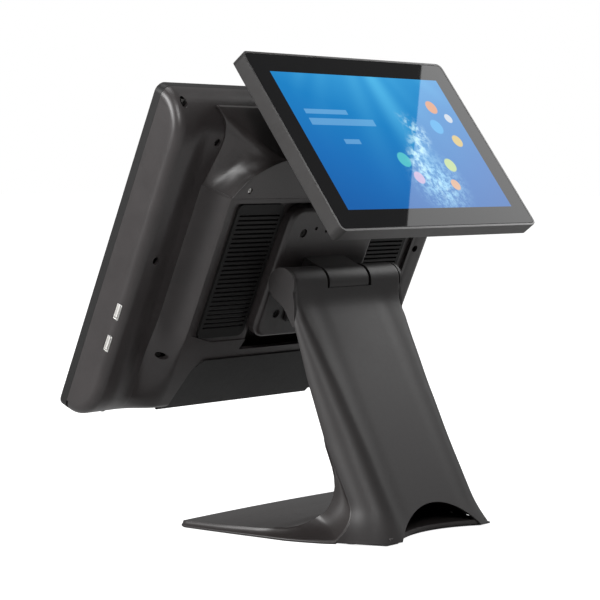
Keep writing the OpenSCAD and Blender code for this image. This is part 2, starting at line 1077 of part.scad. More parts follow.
module display_rear_case() {
    lip = 2;
    color(c_shell)
        in_display()
            difference() {
                intersection() {
                    facing(-disp_d, 0)
                        rounded(disp_w, disp_h, 6);
                    across(disp_w)
                        polygon([[0, -disp_h / 2], [0, disp_h / 2], [3 - disp_d, disp_h / 2],
                            [-disp_d, disp_h / 2 - 4], [-disp_d, -disp_h / 2 + 4],
                            [3 - disp_d, -disp_h / 2]]);
                    rising(-disp_h, disp_h)
                        polygon([[-disp_w / 2, 0], [disp_w / 2, 0], [disp_w / 2, 3 - disp_d],
                            [disp_w / 2 - 4, -disp_d], [-disp_w / 2 + 4, -disp_d],
                            [-disp_w / 2, 3 - disp_d]]);
                }
                facing(-2.2, 1)
                    rounded(disp_w - 2 * lip, disp_h - 2 * lip, 4);
                facing(-disp_d + 2.2, 0)
                    rounded(disp_w - 12, disp_h - 12, 3);
                for (x = [-37.5, 37.5], v = [-37.5, 37.5])
                    translate([x, 0, v])
                        pin_y(2, -disp_d - 1, -disp_d + 5);
            }
}

module display_front_glass() {
    color(c_screen)
        in_display()
            facing(-2.1, 0)
                rounded(disp_w - 4.4, disp_h - 4.4, 4);
}

module display_lcd() {
    color(c_steel)
        in_display()
            facing(-7.5, -2.3)
                rounded(229, 149, 2);
}

module display_driver_board() {
    color(c_board)
        in_display()
            translate([-45, -11.5, -60])
                cube([90, 1.6, 44]);
}

module display_hinge_ears() {
    color(c_steel)
        in_display()
            difference() {
                union() {
                    facing(-disp_d - 2, -disp_d - 0.02)
                        rounded(50, 44, 4);
                    both_sides()
                        translate([tongue_x + 0.4 + ear_t / 2, 0, 0])
                            across(ear_t - 0.1)
                                union() {
                                    translate([disp_axis_y, 0])
                                        circle(ear_r - 0.4);
                                    translate([disp_axis_y, 0.4 - ear_r])
                                        square([8.5, 2 * ear_r - 0.8]);
                                }
                }
                translate([0, disp_axis_y, 0])
                    pin_x(disp_pin_r + shaft_fit, -40, 40);
                for (x = [-20.5, 20.5], v = [-17, 17])
                    translate([x, 0, v])
                        pin_y(1.2, -disp_d - 3, -disp_d + 1);
            }
}

module display_case_screws() {
    color(c_steel)
        in_display()
            for (x = [-37.5, 37.5], v = [-37.5, 37.5])
                translate([x, -disp_d + 0.6, v])
                    mirror([0, 1, 0])
                        screw_y(1.9, 1, 2);
}

// ---- power button ----

module power_button() {
    color(c_dark)
        in_head()
            translate([150, button_y, v_low - 0.8])
                union() {
                    cylinder(r = 3.9, h = 4.8);
                    translate([0, 0, 4.4])
                        cylinder(r = 4.9, h = 1);
                }
}

stand_casting();
base_bottom_cover();
base_ballast();
rubber_feet();
bottom_screws();
neck_rear_cover();
neck_cover_screws();
hinge_cap_left();
hinge_cap_right();
hinge_bracket_left();
hinge_bracket_right();
hinge_shaft();
friction_washers();
shaft_nuts();
front_frame();
touch_glass();
lcd_panel();
chassis_plate();
rear_cover();
vent_frame();
vent_grille_left();
vent_grille_right();
hood_cover();
connector_bay_cover();
rear_connectors();
mainboard();
heat_sink();
memory_module();
solid_state_drive();
touch_controller();
wireless_antenna();
speaker_left();
speaker_right();
usb_port_upper();
usb_port_lower();
mount_plate();
mount_plate_screws();
hinge_knuckle();
case_screws();
hood_screws();
flank_screws();
display_arm();
display_arm_screws();
display_hinge_pin();
display_rear_case();
display_front_glass();
display_lcd();
display_driver_board();
display_hinge_ears();
display_case_screws();
power_button();
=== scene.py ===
"""Looks of a counter-top checkout terminal with a second display for the customer.

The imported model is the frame. Each class below is a sub-assembly: it holds its sizes in
millimetres, in the frame of the part it belongs to, builds its meshes and gives them a finish.
"""

from __future__ import annotations

import json
import logging
import math
from dataclasses import dataclass, field
from enum import Enum
from typing import Any, Callable, Iterable, Sequence

import bmesh
import bpy
from mathutils import Matrix, Vector

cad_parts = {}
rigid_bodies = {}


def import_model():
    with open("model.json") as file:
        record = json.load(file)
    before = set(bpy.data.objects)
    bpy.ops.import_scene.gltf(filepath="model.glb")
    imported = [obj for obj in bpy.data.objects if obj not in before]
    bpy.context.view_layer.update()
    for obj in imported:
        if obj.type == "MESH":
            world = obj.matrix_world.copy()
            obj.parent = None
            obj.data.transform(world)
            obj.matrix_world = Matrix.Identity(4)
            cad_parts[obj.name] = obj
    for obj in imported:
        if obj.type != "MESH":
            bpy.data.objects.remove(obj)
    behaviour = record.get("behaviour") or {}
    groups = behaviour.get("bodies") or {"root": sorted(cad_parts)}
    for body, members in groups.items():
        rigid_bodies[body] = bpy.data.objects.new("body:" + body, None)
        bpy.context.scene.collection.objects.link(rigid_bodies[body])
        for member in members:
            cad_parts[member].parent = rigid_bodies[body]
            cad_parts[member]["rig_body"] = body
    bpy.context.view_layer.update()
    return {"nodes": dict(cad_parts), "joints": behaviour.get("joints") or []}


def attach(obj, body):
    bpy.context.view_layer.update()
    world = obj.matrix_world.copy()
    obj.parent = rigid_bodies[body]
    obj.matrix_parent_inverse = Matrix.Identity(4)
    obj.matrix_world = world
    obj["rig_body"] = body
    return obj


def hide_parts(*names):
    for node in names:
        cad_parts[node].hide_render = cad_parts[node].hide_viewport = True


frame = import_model()

LOG = logging.getLogger("terminal")
MM = 0.001
HEAD_TILT = math.radians(24.2)
DISPLAY_TILT = math.radians(36.7)
DISPLAY_REACH = 61.9
DISPLAY_HEIGHT = 320.8

Point = tuple[float, float, float]
Inputs = dict[Any, Any]


class Body(Enum):
    """The moving bodies that a piece can ride on."""

    STAND = "stand"
    HEAD = "head"
    DISPLAY = "customer_display"
    BUTTON = "power_button"


def hinge_point() -> Vector:
    """Return the tilt hinge's centre, in metres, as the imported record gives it."""
    joint = next(j for j in frame["joints"] if j["name"] == "head_tilt")
    return Vector(joint["pos_m"])


def placement(body: Body) -> Matrix:
    """Return the matrix from a body's own millimetres to the row frame.

    Args:
        body: the body whose frame is wanted.

    Returns:
        Matrix that scales, turns and moves a point into place.
    """
    hinge = hinge_point()
    if body is Body.HEAD:
        where = Matrix.Translation(hinge) @ Matrix.Rotation(-HEAD_TILT, 4, "X")
    elif body is Body.DISPLAY:
        centre = Vector((0, hinge.y + DISPLAY_REACH * MM, DISPLAY_HEIGHT * MM))
        where = Matrix.Translation(centre) @ Matrix.Rotation(DISPLAY_TILT, 4, "X")
    else:
        where = Matrix.Translation(Vector((0, hinge.y, 0)))
    return where @ Matrix.Scale(MM, 4)


def ease(value: float, low: float, high: float) -> float:
    """Return a smooth step that is 0 at low and 1 at high."""
    t = min(max((value - low) / (high - low), 0.0), 1.0)
    return t * t * (3 - 2 * t)


def along(points: Sequence[Sequence[float]], t: float) -> list[float]:
    """Return the place a share t of the way through a list of points, counted by points.

    Args:
        points: the points, each a sequence of the same length.
        t: the share, from 0 at the first point to 1 at the last.

    Returns:
        The point between its two neighbours.
    """
    spot = min(max(t, 0.0), 1.0) * (len(points) - 1)
    low = min(int(spot), len(points) - 2)
    part = spot - low
    return [a + (b - a) * part for a, b in zip(points[low], points[low + 1])]


def between(table: Sequence[tuple[float, float]], x: float) -> float:
    """Return a table's value at x, eased from one entry to the next.

    Args:
        table: pairs of x and value, in rising order of x.
        x: where the value is wanted.

    Returns:
        The value, held flat beyond the table's ends.
    """
    if x <= table[0][0]:
        return table[0][1]
    for (x0, y0), (x1, y1) in zip(table, table[1:]):
        if x <= x1:
            return y0 + (y1 - y0) * ease(x, x0, x1)
    return table[-1][1]


# ---- materials ----


class Wire:
    """A shader socket that takes part in Python arithmetic."""

    def __init__(self, sketch: "Sketch", socket: bpy.types.NodeSocket) -> None:
        """Keep the socket and the sketch that its nodes go into."""
        self.sketch = sketch
        self.socket = socket

    def _math(self, operation: str, left: Any, right: Any = None) -> "Wire":
        """Return the output of one Math node."""
        values = {0: left} if right is None else {0: left, 1: right}
        return self.sketch.node("ShaderNodeMath", {"operation": operation}, values)

    @staticmethod
    def _operator(operation: str, swapped: bool = False) -> Callable[["Wire", Any], "Wire"]:
        """Return the method of one Python operator.

        Args:
            operation: the Math operation that it stands for.
            swapped: whether the other value comes first.

        Returns:
            The method, which takes the Wire and the other value.
        """

        def method(wire: "Wire", other: Any) -> "Wire":
            """Return the operation's result."""
            pair = (other, wire) if swapped else (wire, other)
            return wire._math(operation, *pair)

        return method

    __add__ = _operator("ADD")
    __radd__ = _operator("ADD", True)
    __sub__ = _operator("SUBTRACT")
    __rsub__ = _operator("SUBTRACT", True)
    __mul__ = _operator("MULTIPLY")
    __rmul__ = _operator("MULTIPLY", True)
    __truediv__ = _operator("DIVIDE")
    __pow__ = _operator("POWER")
    __lt__ = _operator("LESS_THAN")
    __gt__ = _operator("GREATER_THAN")

    def __abs__(self) -> "Wire":
        """Return the absolute value."""
        return self._math("ABSOLUTE", self)

    def call(self, operation: str, other: Any = None) -> "Wire":
        """Return the output of any other Math operation, such as SINE or MAXIMUM."""
        return self._math(operation, self, other)

    def rise(self, low: float, high: float) -> "Wire":
        """Return a smooth step from 0 at low to 1 at high.

        Args:
            low: where the step starts.
            high: where it ends.

        Returns:
            The step.
        """
        settings = {"interpolation_type": "SMOOTHSTEP"}
        values = {0: self, 1: low, 2: high, 3: 0.0, 4: 1.0}
        return self.sketch.node("ShaderNodeMapRange", settings, values)


class Sketch:
    """One material's node tree."""

    def __init__(self, name: str) -> None:
        """Start a material with one Principled shader.

        Args:
            name: the material's name.
        """
        self.material = bpy.data.materials.new(name)
        self.material.use_nodes = True
        self.tree = self.material.node_tree
        self.shader = next(n for n in self.tree.nodes if n.type == "BSDF_PRINCIPLED")

    def raw(self, kind: str, settings: Inputs | None = None, values: Inputs | None = None) -> Any:
        """Add a node.

        Args:
            kind: Blender's name of the node type.
            settings: the node's own settings, set first.
            values: a value or a Wire for each input, by name or index.

        Returns:
            The node itself.
        """
        made = self.tree.nodes.new(kind)
        for key, value in (settings or {}).items():
            if key == "stops":
                self._stops(made.color_ramp, value)
            else:
                setattr(made, key, value)
        for key, value in (values or {}).items():
            self.feed(made.inputs[key], value)
        return made

    def node(
        self, kind: str, settings: Inputs | None = None, values: Inputs | None = None, out: Any = 0
    ) -> Wire:
        """Add a node and return one of its outputs as a Wire."""
        return Wire(self, self.raw(kind, settings, values).outputs[out])

    def feed(self, socket: bpy.types.NodeSocket, value: Any) -> None:
        """Link a Wire to a socket, or set the socket's own value.

        Args:
            socket: the input socket.
            value: a Wire or a plain value.
        """
        if isinstance(value, Wire):
            self.tree.links.new(value.socket, socket)
        else:
            socket.default_value = value

    @staticmethod
    def _stops(ramp: bpy.types.ColorRamp, stops: Sequence[tuple[float, Sequence[float]]]) -> None:
        """Fill a colour ramp with its stops.

        Args:
            ramp: the ramp of a new node.
            stops: each stop's position and colour.
        """
        while len(ramp.elements) < len(stops):
            ramp.elements.new(0.5)
        for element, (position, colour) in zip(ramp.elements, stops):
            element.position = position
            element.color = (*colour, 1.0)

    def set(self, **values: Any) -> None:
        """Set or link the shader's sockets; an underscore in a name stands for a space."""
        for name, value in values.items():
            self.feed(self.shader.inputs[name.replace("_", " ")], value)

    def place(self) -> Wire:
        """Return the Object coordinates."""
        return self.node("ShaderNodeTexCoord", out="Object")

    def noise(
        self, scale: float, detail: float = 2.0, rough: float = 0.5, at: Wire | None = None
    ) -> Wire:
        """Return a noise value from 0 to 1.

        Args:
            scale: how many cells to a metre.
            detail: number of finer layers.
            rough: weight of the finer layers.
            at: the place, if not the Object coordinates.

        Returns:
            The value.
        """
        values = {"Vector": at or self.place(), "Scale": scale}
        values |= {"Detail": detail, "Roughness": rough}
        return self.node("ShaderNodeTexNoise", {"noise_dimensions": "3D"}, values)

    def blend(self, share: Any, low: Any, high: Any) -> Wire:
        """Return a mix of two colours."""
        settings = {"data_type": "RGBA", "clamp_factor": True}
        return self.node("ShaderNodeMix", settings, {0: share, 6: low, 7: high}, out=2)

    def bump(self, height: Wire, depth: float, strength: float) -> Wire:
        """Return a normal that is bumped by a height, in metres."""
        values = {"Strength": strength, "Distance": depth, "Height": height}
        return self.node("ShaderNodeBump", {}, values)


def rgba(colour: Sequence[float], gain: float = 1.0) -> tuple[float, float, float, float]:
    """Return a colour with full alpha, brightened by gain."""
    return (*(c * gain for c in colour), 1.0)


BLACK = rgba((0, 0, 0))


@dataclass(frozen=True)
class Moulding:
    """Moulded plastic or paint with an eroded grain, faint mottling and polished patches."""

    name: str
    colour: tuple[float, float, float]
    roughness: float = 0.5
    grain: float = 1800.0
    depth: float = 0.00006
    strength: float = 0.25
    mottle: float = 0.10
    gloss: float = 0.45

    def build(self) -> bpy.types.Material:
        """Return the material.

        Returns:
            The material, with its nodes.
        """
        sketch = Sketch(self.name)
        fine = sketch.noise(self.grain, 3.0, 0.6)
        cloud = sketch.noise(38.0, 4.0, 0.55)
        patch = sketch.noise(260.0, 2.0, 0.5)
        share = (cloud * 0.6 + fine * 0.4).rise(0.3, 0.7)
        dark, pale = rgba(self.colour, 1 - self.mottle), rgba(self.colour, 1 + self.mottle)
        colour = sketch.blend(share, dark, pale)
        sketch.set(Base_Color=colour, Specular_IOR_Level=self.gloss)
        sketch.set(Roughness=self.roughness - 0.05 + 0.07 * patch + 0.05 * cloud)
        sketch.set(Normal=sketch.bump(fine + patch * 0.3, self.depth, self.strength))
        return sketch.material


@dataclass(frozen=True)
class Metal:
    """Bare or plated metal with fine drawn scratches and slight staining."""

    name: str
    colour: tuple[float, float, float]
    roughness: float = 0.3
    scratch: float = 900.0

    def build(self) -> bpy.types.Material:
        """Return the material.

        Returns:
            The material, with its nodes.
        """
        sketch = Sketch(self.name)
        values = {"Vector": sketch.place(), "Scale": (0.06, 1.0, 1.0)}
        stretched = sketch.node("ShaderNodeMapping", {}, values)
        drawn = sketch.noise(self.scratch, 3.0, 0.6, at=stretched)
        stain = sketch.noise(70.0, 3.0, 0.5)
        sketch.set(Base_Color=sketch.blend(stain, rgba(self.colour, 0.9), rgba(self.colour, 1.06)))
        sketch.set(Metallic=1.0, Roughness=self.roughness + 0.14 * drawn - 0.04)
        sketch.set(Normal=sketch.bump(drawn, 0.00002, 0.15))
        return sketch.material


@dataclass(frozen=True)
class Board:
    """Solder-masked circuit board with traces and pads."""

    name: str = "board_green"
    colour: tuple[float, float, float] = (0.01, 0.10, 0.045)

    def build(self) -> bpy.types.Material:
        """Return the material.

        Returns:
            The material, with its nodes.
        """
        sketch = Sketch(self.name)
        values = {"Vector": sketch.place(), "Scale": 260.0}
        cells = sketch.node("ShaderNodeTexVoronoi", {"distance": "CHEBYCHEV"}, values)
        trace = cells.rise(0.32, 0.36)
        sketch.set(Base_Color=sketch.blend(trace, rgba(self.colour), rgba(self.colour, 2.1)))
        sketch.set(Roughness=0.32 + 0.1 * sketch.noise(90.0), Coat_Weight=0.3)
        sketch.set(Normal=sketch.bump(trace, 0.00004, 0.3))
        return sketch.material


@dataclass(frozen=True)
class LitGlass:
    """Cover glass with a black printed border and a lit picture inside it.

    The picture is drawn in the screen's own coordinates: across from -1 to 1 and up from -1 to 1.
    """

    name: str
    body: Body
    centre: tuple[float, float, float]
    half_width: float
    half_height: float
    facing: float
    menu: bool

    def build(self) -> bpy.types.Material:
        """Return the material.

        Returns:
            The material, with its nodes.
        """
        sketch = Sketch(self.name)
        flat = self._flat(sketch)
        split = sketch.raw("ShaderNodeSeparateXYZ", {}, {0: flat})
        across = Wire(sketch, split.outputs[0]) * (self.facing / (self.half_width * MM))
        up = Wire(sketch, split.outputs[2]) * (1 / (self.half_height * MM))
        inside = (abs(across) < 1.0) * (abs(up) < 1.0)
        picture = self._menu(sketch, across, up) if self.menu else self._advert(sketch, across, up)
        smear = sketch.noise(30.0, 4.0, 0.6)
        clean, smeared = rgba((0.004, 0.004, 0.0045)), rgba((0.007, 0.007, 0.0075))
        sketch.set(Base_Color=sketch.blend(smear, clean, smeared))
        sketch.set(Roughness=0.012 + 0.01 * smear, Specular_IOR_Level=0.09)
        sketch.set(Emission_Color=sketch.blend(inside, BLACK, picture), Emission_Strength=1.0)
        return sketch.material

    def _flat(self, sketch: Sketch) -> Wire:
        """Return the place in the screen's own frame, in metres.

        Args:
            sketch: the material's nodes.

        Returns:
            The place.
        """
        own = placement(self.body) @ Matrix.Translation(Vector(self.centre))
        back = own.to_3x3().normalized().inverted()
        shift = -(back @ own.translation)
        values = {"Vector": sketch.place(), "Location": shift, "Rotation": back.to_euler()}
        return sketch.node("ShaderNodeMapping", {"vector_type": "POINT"}, values)

    @staticmethod
    def _disc(across: Wire, up: Wire, x: float, y: float, radius: float, soft: float = 0.1) -> Wire:
        """Return 1 inside a round spot of the picture, with a soft edge.

        Args:
            across: the place across the screen.
            up: the place up the screen.
            x: the spot's centre across.
            y: the spot's centre up.
            radius: its radius, as a share of half the height.
            soft: the edge's softness, as a share of the radius.

        Returns:
            The mask.
        """
        square = ((across - x) * 1.6) ** 2.0 + (up - y) ** 2.0
        return 1.0 - square.call("SQRT").rise(radius * (1 - soft), radius * (1 + soft))

    def _advert(self, sketch: Sketch, across: Wire, up: Wire) -> Wire:
        """Return a generic under-water picture: light rays, a splash and coloured bubbles.

        Args:
            sketch: the material's nodes.
            across: the place across the screen.
            up: the place up the screen.

        Returns:
            The picture's colour.
        """
        depth = (up * 0.5 + 0.5) * 0.75 + (1.0 - abs(across - 0.2)) * 0.25
        deep, middle = (0.0, (0.0, 0.11, 0.40)), (0.3, (0.0, 0.15, 0.48))
        shallow, surface = (0.65, (0.0, 0.21, 0.55)), (1.0, (0.03, 0.34, 0.70))
        stops = [deep, middle, shallow, surface]
        water = sketch.node("ShaderNodeValToRGB", {"stops": stops}, {0: depth})
        ray = ((across - 0.1) / (2.2 - up)) * 26.0
        rays = (ray.call("SINE") * 0.5 + 0.5) * ((ray * 0.37 + 1.3).call("SINE") * 0.5 + 0.5)
        glow = rays * (up * 0.5 + 0.5) * (1.0 - abs(across - 0.1)).call("MAXIMUM", 0.0)
        colour = sketch.blend(glow * 0.5, water, rgba((0.12, 0.62, 0.95)))
        swirl = (up * 5.0 + across * 2.0).call("SINE") * 0.10
        stem = 1.0 - abs(across - 0.24 - swirl).rise(0.03, 0.16)
        mist = sketch.noise(150.0, 5.0, 0.65).rise(0.42, 0.66)
        splash = stem * mist * (1.0 - abs(up + 0.25).rise(0.45, 0.75))
        colour = sketch.blend(splash * 0.9, colour, rgba((0.55, 0.86, 0.98)))
        foam = sketch.noise(210.0, 4.0, 0.7)
        pool = self._disc(across, up, 0.25, -0.62, 0.34, 0.9) * foam.rise(0.4, 0.62)
        colour = sketch.blend(pool * 0.75, colour, rgba((0.35, 0.72, 0.95)))
        for x, y, radius, tint in self._bubbles():
            spot = self._disc(across, up, x, y, radius)
            colour = sketch.blend(spot * 0.85, colour, rgba(tint))
        bars = [(0.42, 0.035, -0.86, -0.38), (0.27, 0.05, -0.86, -0.12)]
        for y, half, left, right in [*bars, (-0.02, 0.035, -0.6, -0.42)]:
            bar = (abs(up - y) < half) * (across > left) * (across < right)
            colour = sketch.blend(bar * 0.35, colour, rgba((0.3, 0.65, 0.95)))
        return colour

    @staticmethod
    def _bubbles() -> list[tuple[float, float, float, tuple[float, float, float]]]:
        """Return the bubbles of the picture: across, up, radius and colour.

        Returns:
            The bubbles.
        """
        return [
            (0.72, 0.55, 0.10, (0.75, 0.30, 0.08)),
            (0.86, 0.38, 0.07, (0.62, 0.66, 0.70)),
            (0.64, 0.24, 0.11, (0.05, 0.40, 0.78)),
            (0.80, 0.02, 0.09, (0.72, 0.52, 0.10)),
            (-0.02, -0.28, 0.11, (0.10, 0.60, 0.62)),
            (0.04, -0.55, 0.09, (0.62, 0.45, 0.66)),
            (0.52, -0.36, 0.10, (0.55, 0.70, 0.25)),
            (0.44, -0.66, 0.08, (0.78, 0.42, 0.20)),
        ]

    def _menu(self, sketch: Sketch, across: Wire, up: Wire) -> Wire:
        """Return a plain till screen: a list on one side and rows of coloured keys on the other.

        Args:
            sketch: the material's nodes.
            across: the place across the screen.
            up: the place up the screen.

        Returns:
            The picture's colour.
        """
        back = sketch.blend(up * 0.5 + 0.5, rgba((0.02, 0.06, 0.12)), rgba((0.04, 0.13, 0.24)))
        column = (across * 4.0 + 8.0).call("FRACT")
        row = (up * 3.5 + 7.0).call("FRACT")
        key = (abs(column - 0.5) < 0.43) * (abs(row - 0.5) < 0.42)
        key = key * (across > -0.25) * (abs(up) < 0.857)
        hue = (across * 4.0).call("FLOOR") * 0.37 + (up * 3.5).call("FLOOR") * 0.23
        blue, green = (0.0, (0.02, 0.24, 0.45)), (0.4, (0.04, 0.38, 0.30))
        amber, red = (0.7, (0.52, 0.26, 0.05)), (1.0, (0.34, 0.08, 0.16))
        stops = {"stops": [blue, green, amber, red]}
        tint = sketch.node("ShaderNodeValToRGB", stops, {0: hue.call("FRACT")})
        colour = sketch.blend(key, back, tint)
        panel = (across > -0.96) * (across < -0.3) * (abs(up) < 0.86)
        colour = sketch.blend(panel, colour, rgba((0.55, 0.60, 0.64)))
        line = ((up * 9.0 + 9.0).call("FRACT") > 0.55) * (abs(up) < 0.78)
        line = line * (across > -0.9) * (across < -0.45)
        return sketch.blend(line * 0.5, colour, rgba((0.18, 0.22, 0.27)))


class Palette:
    """Every finish of the terminal, built once."""

    shell: bpy.types.Material
    hood: bpy.types.Material
    neck: bpy.types.Material
    casting: bpy.types.Material
    vent: bpy.types.Material
    inner: bpy.types.Material
    bezel: bpy.types.Material
    case: bpy.types.Material
    rubber: bpy.types.Material

    def __init__(self) -> None:
        """Build the materials."""
        charcoal, brown = (0.0235, 0.0202, 0.0202), (0.0255, 0.022, 0.0218)
        casting = (0.0225, 0.0194, 0.019)
        neck, vent, inner = (0.015, 0.013, 0.013), (0.007, 0.0066, 0.0066), (0.012, 0.012, 0.0125)
        bezel, case, rubber = (0.008, 0.0077, 0.0077), (0.016, 0.0146, 0.0142), (0.01, 0.01, 0.01)
        plastics = {
            "shell": ("shell_charcoal", charcoal, 0.35, 900.0, 0.00012, 0.5, 0.16, 0.5),
            "hood": ("hood_charcoal", brown, 0.33, 800.0, 0.00014, 0.6, 0.16, 0.55),
            "neck": ("neck_charcoal", neck, 0.48, 1500.0, 0.00006, 0.3, 0.1, 0.38),
            "casting": ("casting_paint", casting, 0.40, 1300.0, 0.00008, 0.35, 0.12),
            "vent": ("vent_black", vent, 0.55, 1700.0, 0.00006, 0.3, 0.1, 0.22),
            "inner": ("inner_black", inner, 0.6, 1600.0, 0.00006, 0.3),
            "bezel": ("bezel_black", bezel, 0.45, 2400.0, 0.00003, 0.2, 0.06, 0.3),
            "case": ("case_grey", case, 0.36, 2200.0, 0.00004, 0.25, 0.06),
            "rubber": ("foot_rubber", rubber, 0.8, 900.0, 0.0001, 0.4),
        }
        for key, values in plastics.items():
            setattr(self, key, Moulding(*values).build())
        self.steel = Metal("plated_steel", (0.62, 0.61, 0.59), 0.32).build()
        self.bright = Metal("socket_shell", (0.96, 0.95, 0.93), 0.34).build()
        self.screw = Metal("blackened_steel", (0.035, 0.034, 0.033), 0.5).build()
        self.aluminium = Metal("extruded_aluminium", (0.74, 0.74, 0.75), 0.36, 1400.0).build()
        self.board = Board().build()


# ---- meshes ----


class Shape:
    """A mesh under construction in a body's own millimetres."""

    def __init__(self, body: Body) -> None:
        """Start an empty mesh."""
        self.body = body
        self.mesh = bmesh.new()

    def sheet(self, across: int, up: int, at: Callable[[float, float], Sequence[float]]) -> None:
        """Lay a grid over a surface.

        Args:
            across: number of faces in the first direction.
            up: number of faces in the second direction.
            at: the surface, from two shares of 0 to 1 to a point in millimetres.
        """
        made = bmesh.ops.create_grid(self.mesh, x_segments=across, y_segments=up, size=0.5)["verts"]
        for vert in made:
            vert.co = Vector(at(vert.co.x + 0.5, vert.co.y + 0.5))

    def slab(self, low: Point, high: Point) -> None:
        """Add a box.

        Args:
            low: its corner with the lowest coordinates.
            high: the corner opposite.
        """
        made = bmesh.ops.create_cube(self.mesh, size=1.0)["verts"]
        size = [b - a for a, b in zip(low, high)]
        middle = [(a + b) / 2 for a, b in zip(low, high)]
        bmesh.ops.scale(self.mesh, vec=size, verts=made)
        bmesh.ops.translate(self.mesh, vec=middle, verts=made)

    def drum(self, radius: float, low: Point, high: Point, sides: int = 32) -> None:
        """Add a closed cylinder.

        Args:
            radius: its radius.
            low: the centre of one end.
            high: the centre of the other end.
            sides: number of faces round it.
        """
        start, end = Vector(low), Vector(high)
        line = end - start
        size = {"radius1": radius, "radius2": radius, "depth": line.length}
        made = bmesh.ops.create_cone(self.mesh, cap_ends=True, segments=sides, **size)["verts"]
        turn = Vector((0, 0, 1)).rotation_difference(line).to_matrix()
        bmesh.ops.rotate(self.mesh, cent=(0, 0, 0), matrix=turn, verts=made)
        bmesh.ops.translate(self.mesh, vec=(start + end) / 2, verts=made)

    def stretch(self, move: Point) -> None:
        """Make a skin solid, with a copy of itself, moved by a vector, as its other side.

        Args:
            move: how far the copy is moved.
        """
        made = bmesh.ops.extrude_face_region(self.mesh, geom=list(self.mesh.faces))["geom"]
        verts = [g for g in made if isinstance(g, bmesh.types.BMVert)]
        bmesh.ops.translate(self.mesh, vec=move, verts=verts)
        bmesh.ops.recalc_face_normals(self.mesh, faces=self.mesh.faces)

    def weld(self, distance: float = 0.02) -> None:
        """Merge vertices that meet and drop faces without area."""
        bmesh.ops.remove_doubles(self.mesh, verts=self.mesh.verts, dist=distance)
        bmesh.ops.dissolve_degenerate(self.mesh, edges=self.mesh.edges, dist=distance / 4)

    def face_out(self, inner: Point) -> None:
        """Turn the faces so that they look away from an inner point.

        Args:
            inner: the inner point.
        """
        bmesh.ops.recalc_face_normals(self.mesh, faces=self.mesh.faces)
        centre = Vector(inner)
        faces = self.mesh.faces
        outward = ((f.calc_center_median() - centre).dot(f.normal) * f.calc_area() for f in faces)
        if sum(outward) < 0:
            bmesh.ops.reverse_faces(self.mesh, faces=self.mesh.faces)

    def soften(
        self, width: float, segments: int, angle: float, keep: Callable[[Any], bool]
    ) -> None:
        """Round the sharp edges that a rule picks; see round_edges."""
        round_edges(self.mesh, width, segments, angle, keep)

    def finish(self, name: str, crease: float = 40.0) -> bpy.types.Object:
        """Turn the mesh into an object in the row frame.

        Args:
            name: the piece's name.
            crease: the angle, in degrees, above which an edge stays sharp in the shading.

        Returns:
            The object, at the origin, with its place in its mesh.
        """
        self.mesh.transform(placement(self.body))
        return solid_object(name, self.mesh, crease)


def round_edges(
    mesh: bmesh.types.BMesh,
    width: float,
    segments: int,
    angle: float,
    keep: Callable[[Any], bool] = lambda edge: True,
) -> None:
    """Round the edges whose faces meet at more than an angle.

    Args:
        mesh: the mesh.
        width: width of the rounding, in the mesh's own unit.
        segments: how many faces round each edge.
        angle: the least angle, in degrees.
        keep: a further rule that says whether an edge counts.
    """
    folds = [e for e in mesh.edges if len(e.link_faces) == 2]
    sharp = [e for e in folds if e.calc_face_angle(0) > math.radians(angle) and keep(e)]
    bmesh.ops.bevel(
        mesh,
        geom=sharp,
        offset=width,
        offset_type="OFFSET",
        segments=segments,
        profile=0.5,
        affect="EDGES",
        material=-1,
        clamp_overlap=True,
    )


def shade(mesh: bmesh.types.BMesh, data: bpy.types.Mesh, crease: float) -> None:
    """Shade a mesh smooth except at its creases, and store it.

    Args:
        mesh: the mesh, which is freed.
        data: the mesh data that it goes into.
        crease: the angle, in degrees, above which an edge stays sharp.
    """
    for face in mesh.faces:
        face.smooth = True
    for edge in mesh.edges:
        edge.smooth = len(edge.link_faces) != 2 or edge.calc_face_angle(0) < math.radians(crease)
    mesh.to_mesh(data)
    mesh.free()


def solid_object(name: str, mesh: bmesh.types.BMesh, crease: float = 40.0) -> bpy.types.Object:
    """Link a finished bmesh as an object, shaded smooth except at its creases.

    Args:
        name: the object's name.
        mesh: the mesh, which is freed.
        crease: the crease angle, in degrees.

    Returns:
        The object.
    """
    data = bpy.data.meshes.new(name)
    shade(mesh, data, crease)
    made = bpy.data.objects.new(name, data)
    bpy.context.scene.collection.objects.link(made)
    return made


def thicken(piece: bpy.types.Object, wall: float) -> bpy.types.Object:
    """Give an open skin a wall on its inner side.

    Args:
        piece: the skin.
        wall: the wall, in millimetres.

    Returns:
        The same piece.
    """
    step = piece.modifiers.new("wall", "SOLIDIFY")
    step.thickness = wall * MM
    step.offset = -1.0
    step.use_even_offset = False
    return piece


def break_edges(
    piece: bpy.types.Object, width: float, segments: int, angle: float = 30.0
) -> bpy.types.Object:
    """Break a piece's sharp edges, as a mould leaves them.

    Args:
        piece: the piece.
        width: width of the broken edge, in millimetres.
        segments: how many faces round each edge.
        angle: the least angle, in degrees, of an edge that is broken.

    Returns:
        The same piece.
    """
    step = piece.modifiers.new("edge", "BEVEL")
    step.width, step.segments = width * MM, segments
    step.limit_method, step.angle_limit = "ANGLE", math.radians(angle)
    return piece


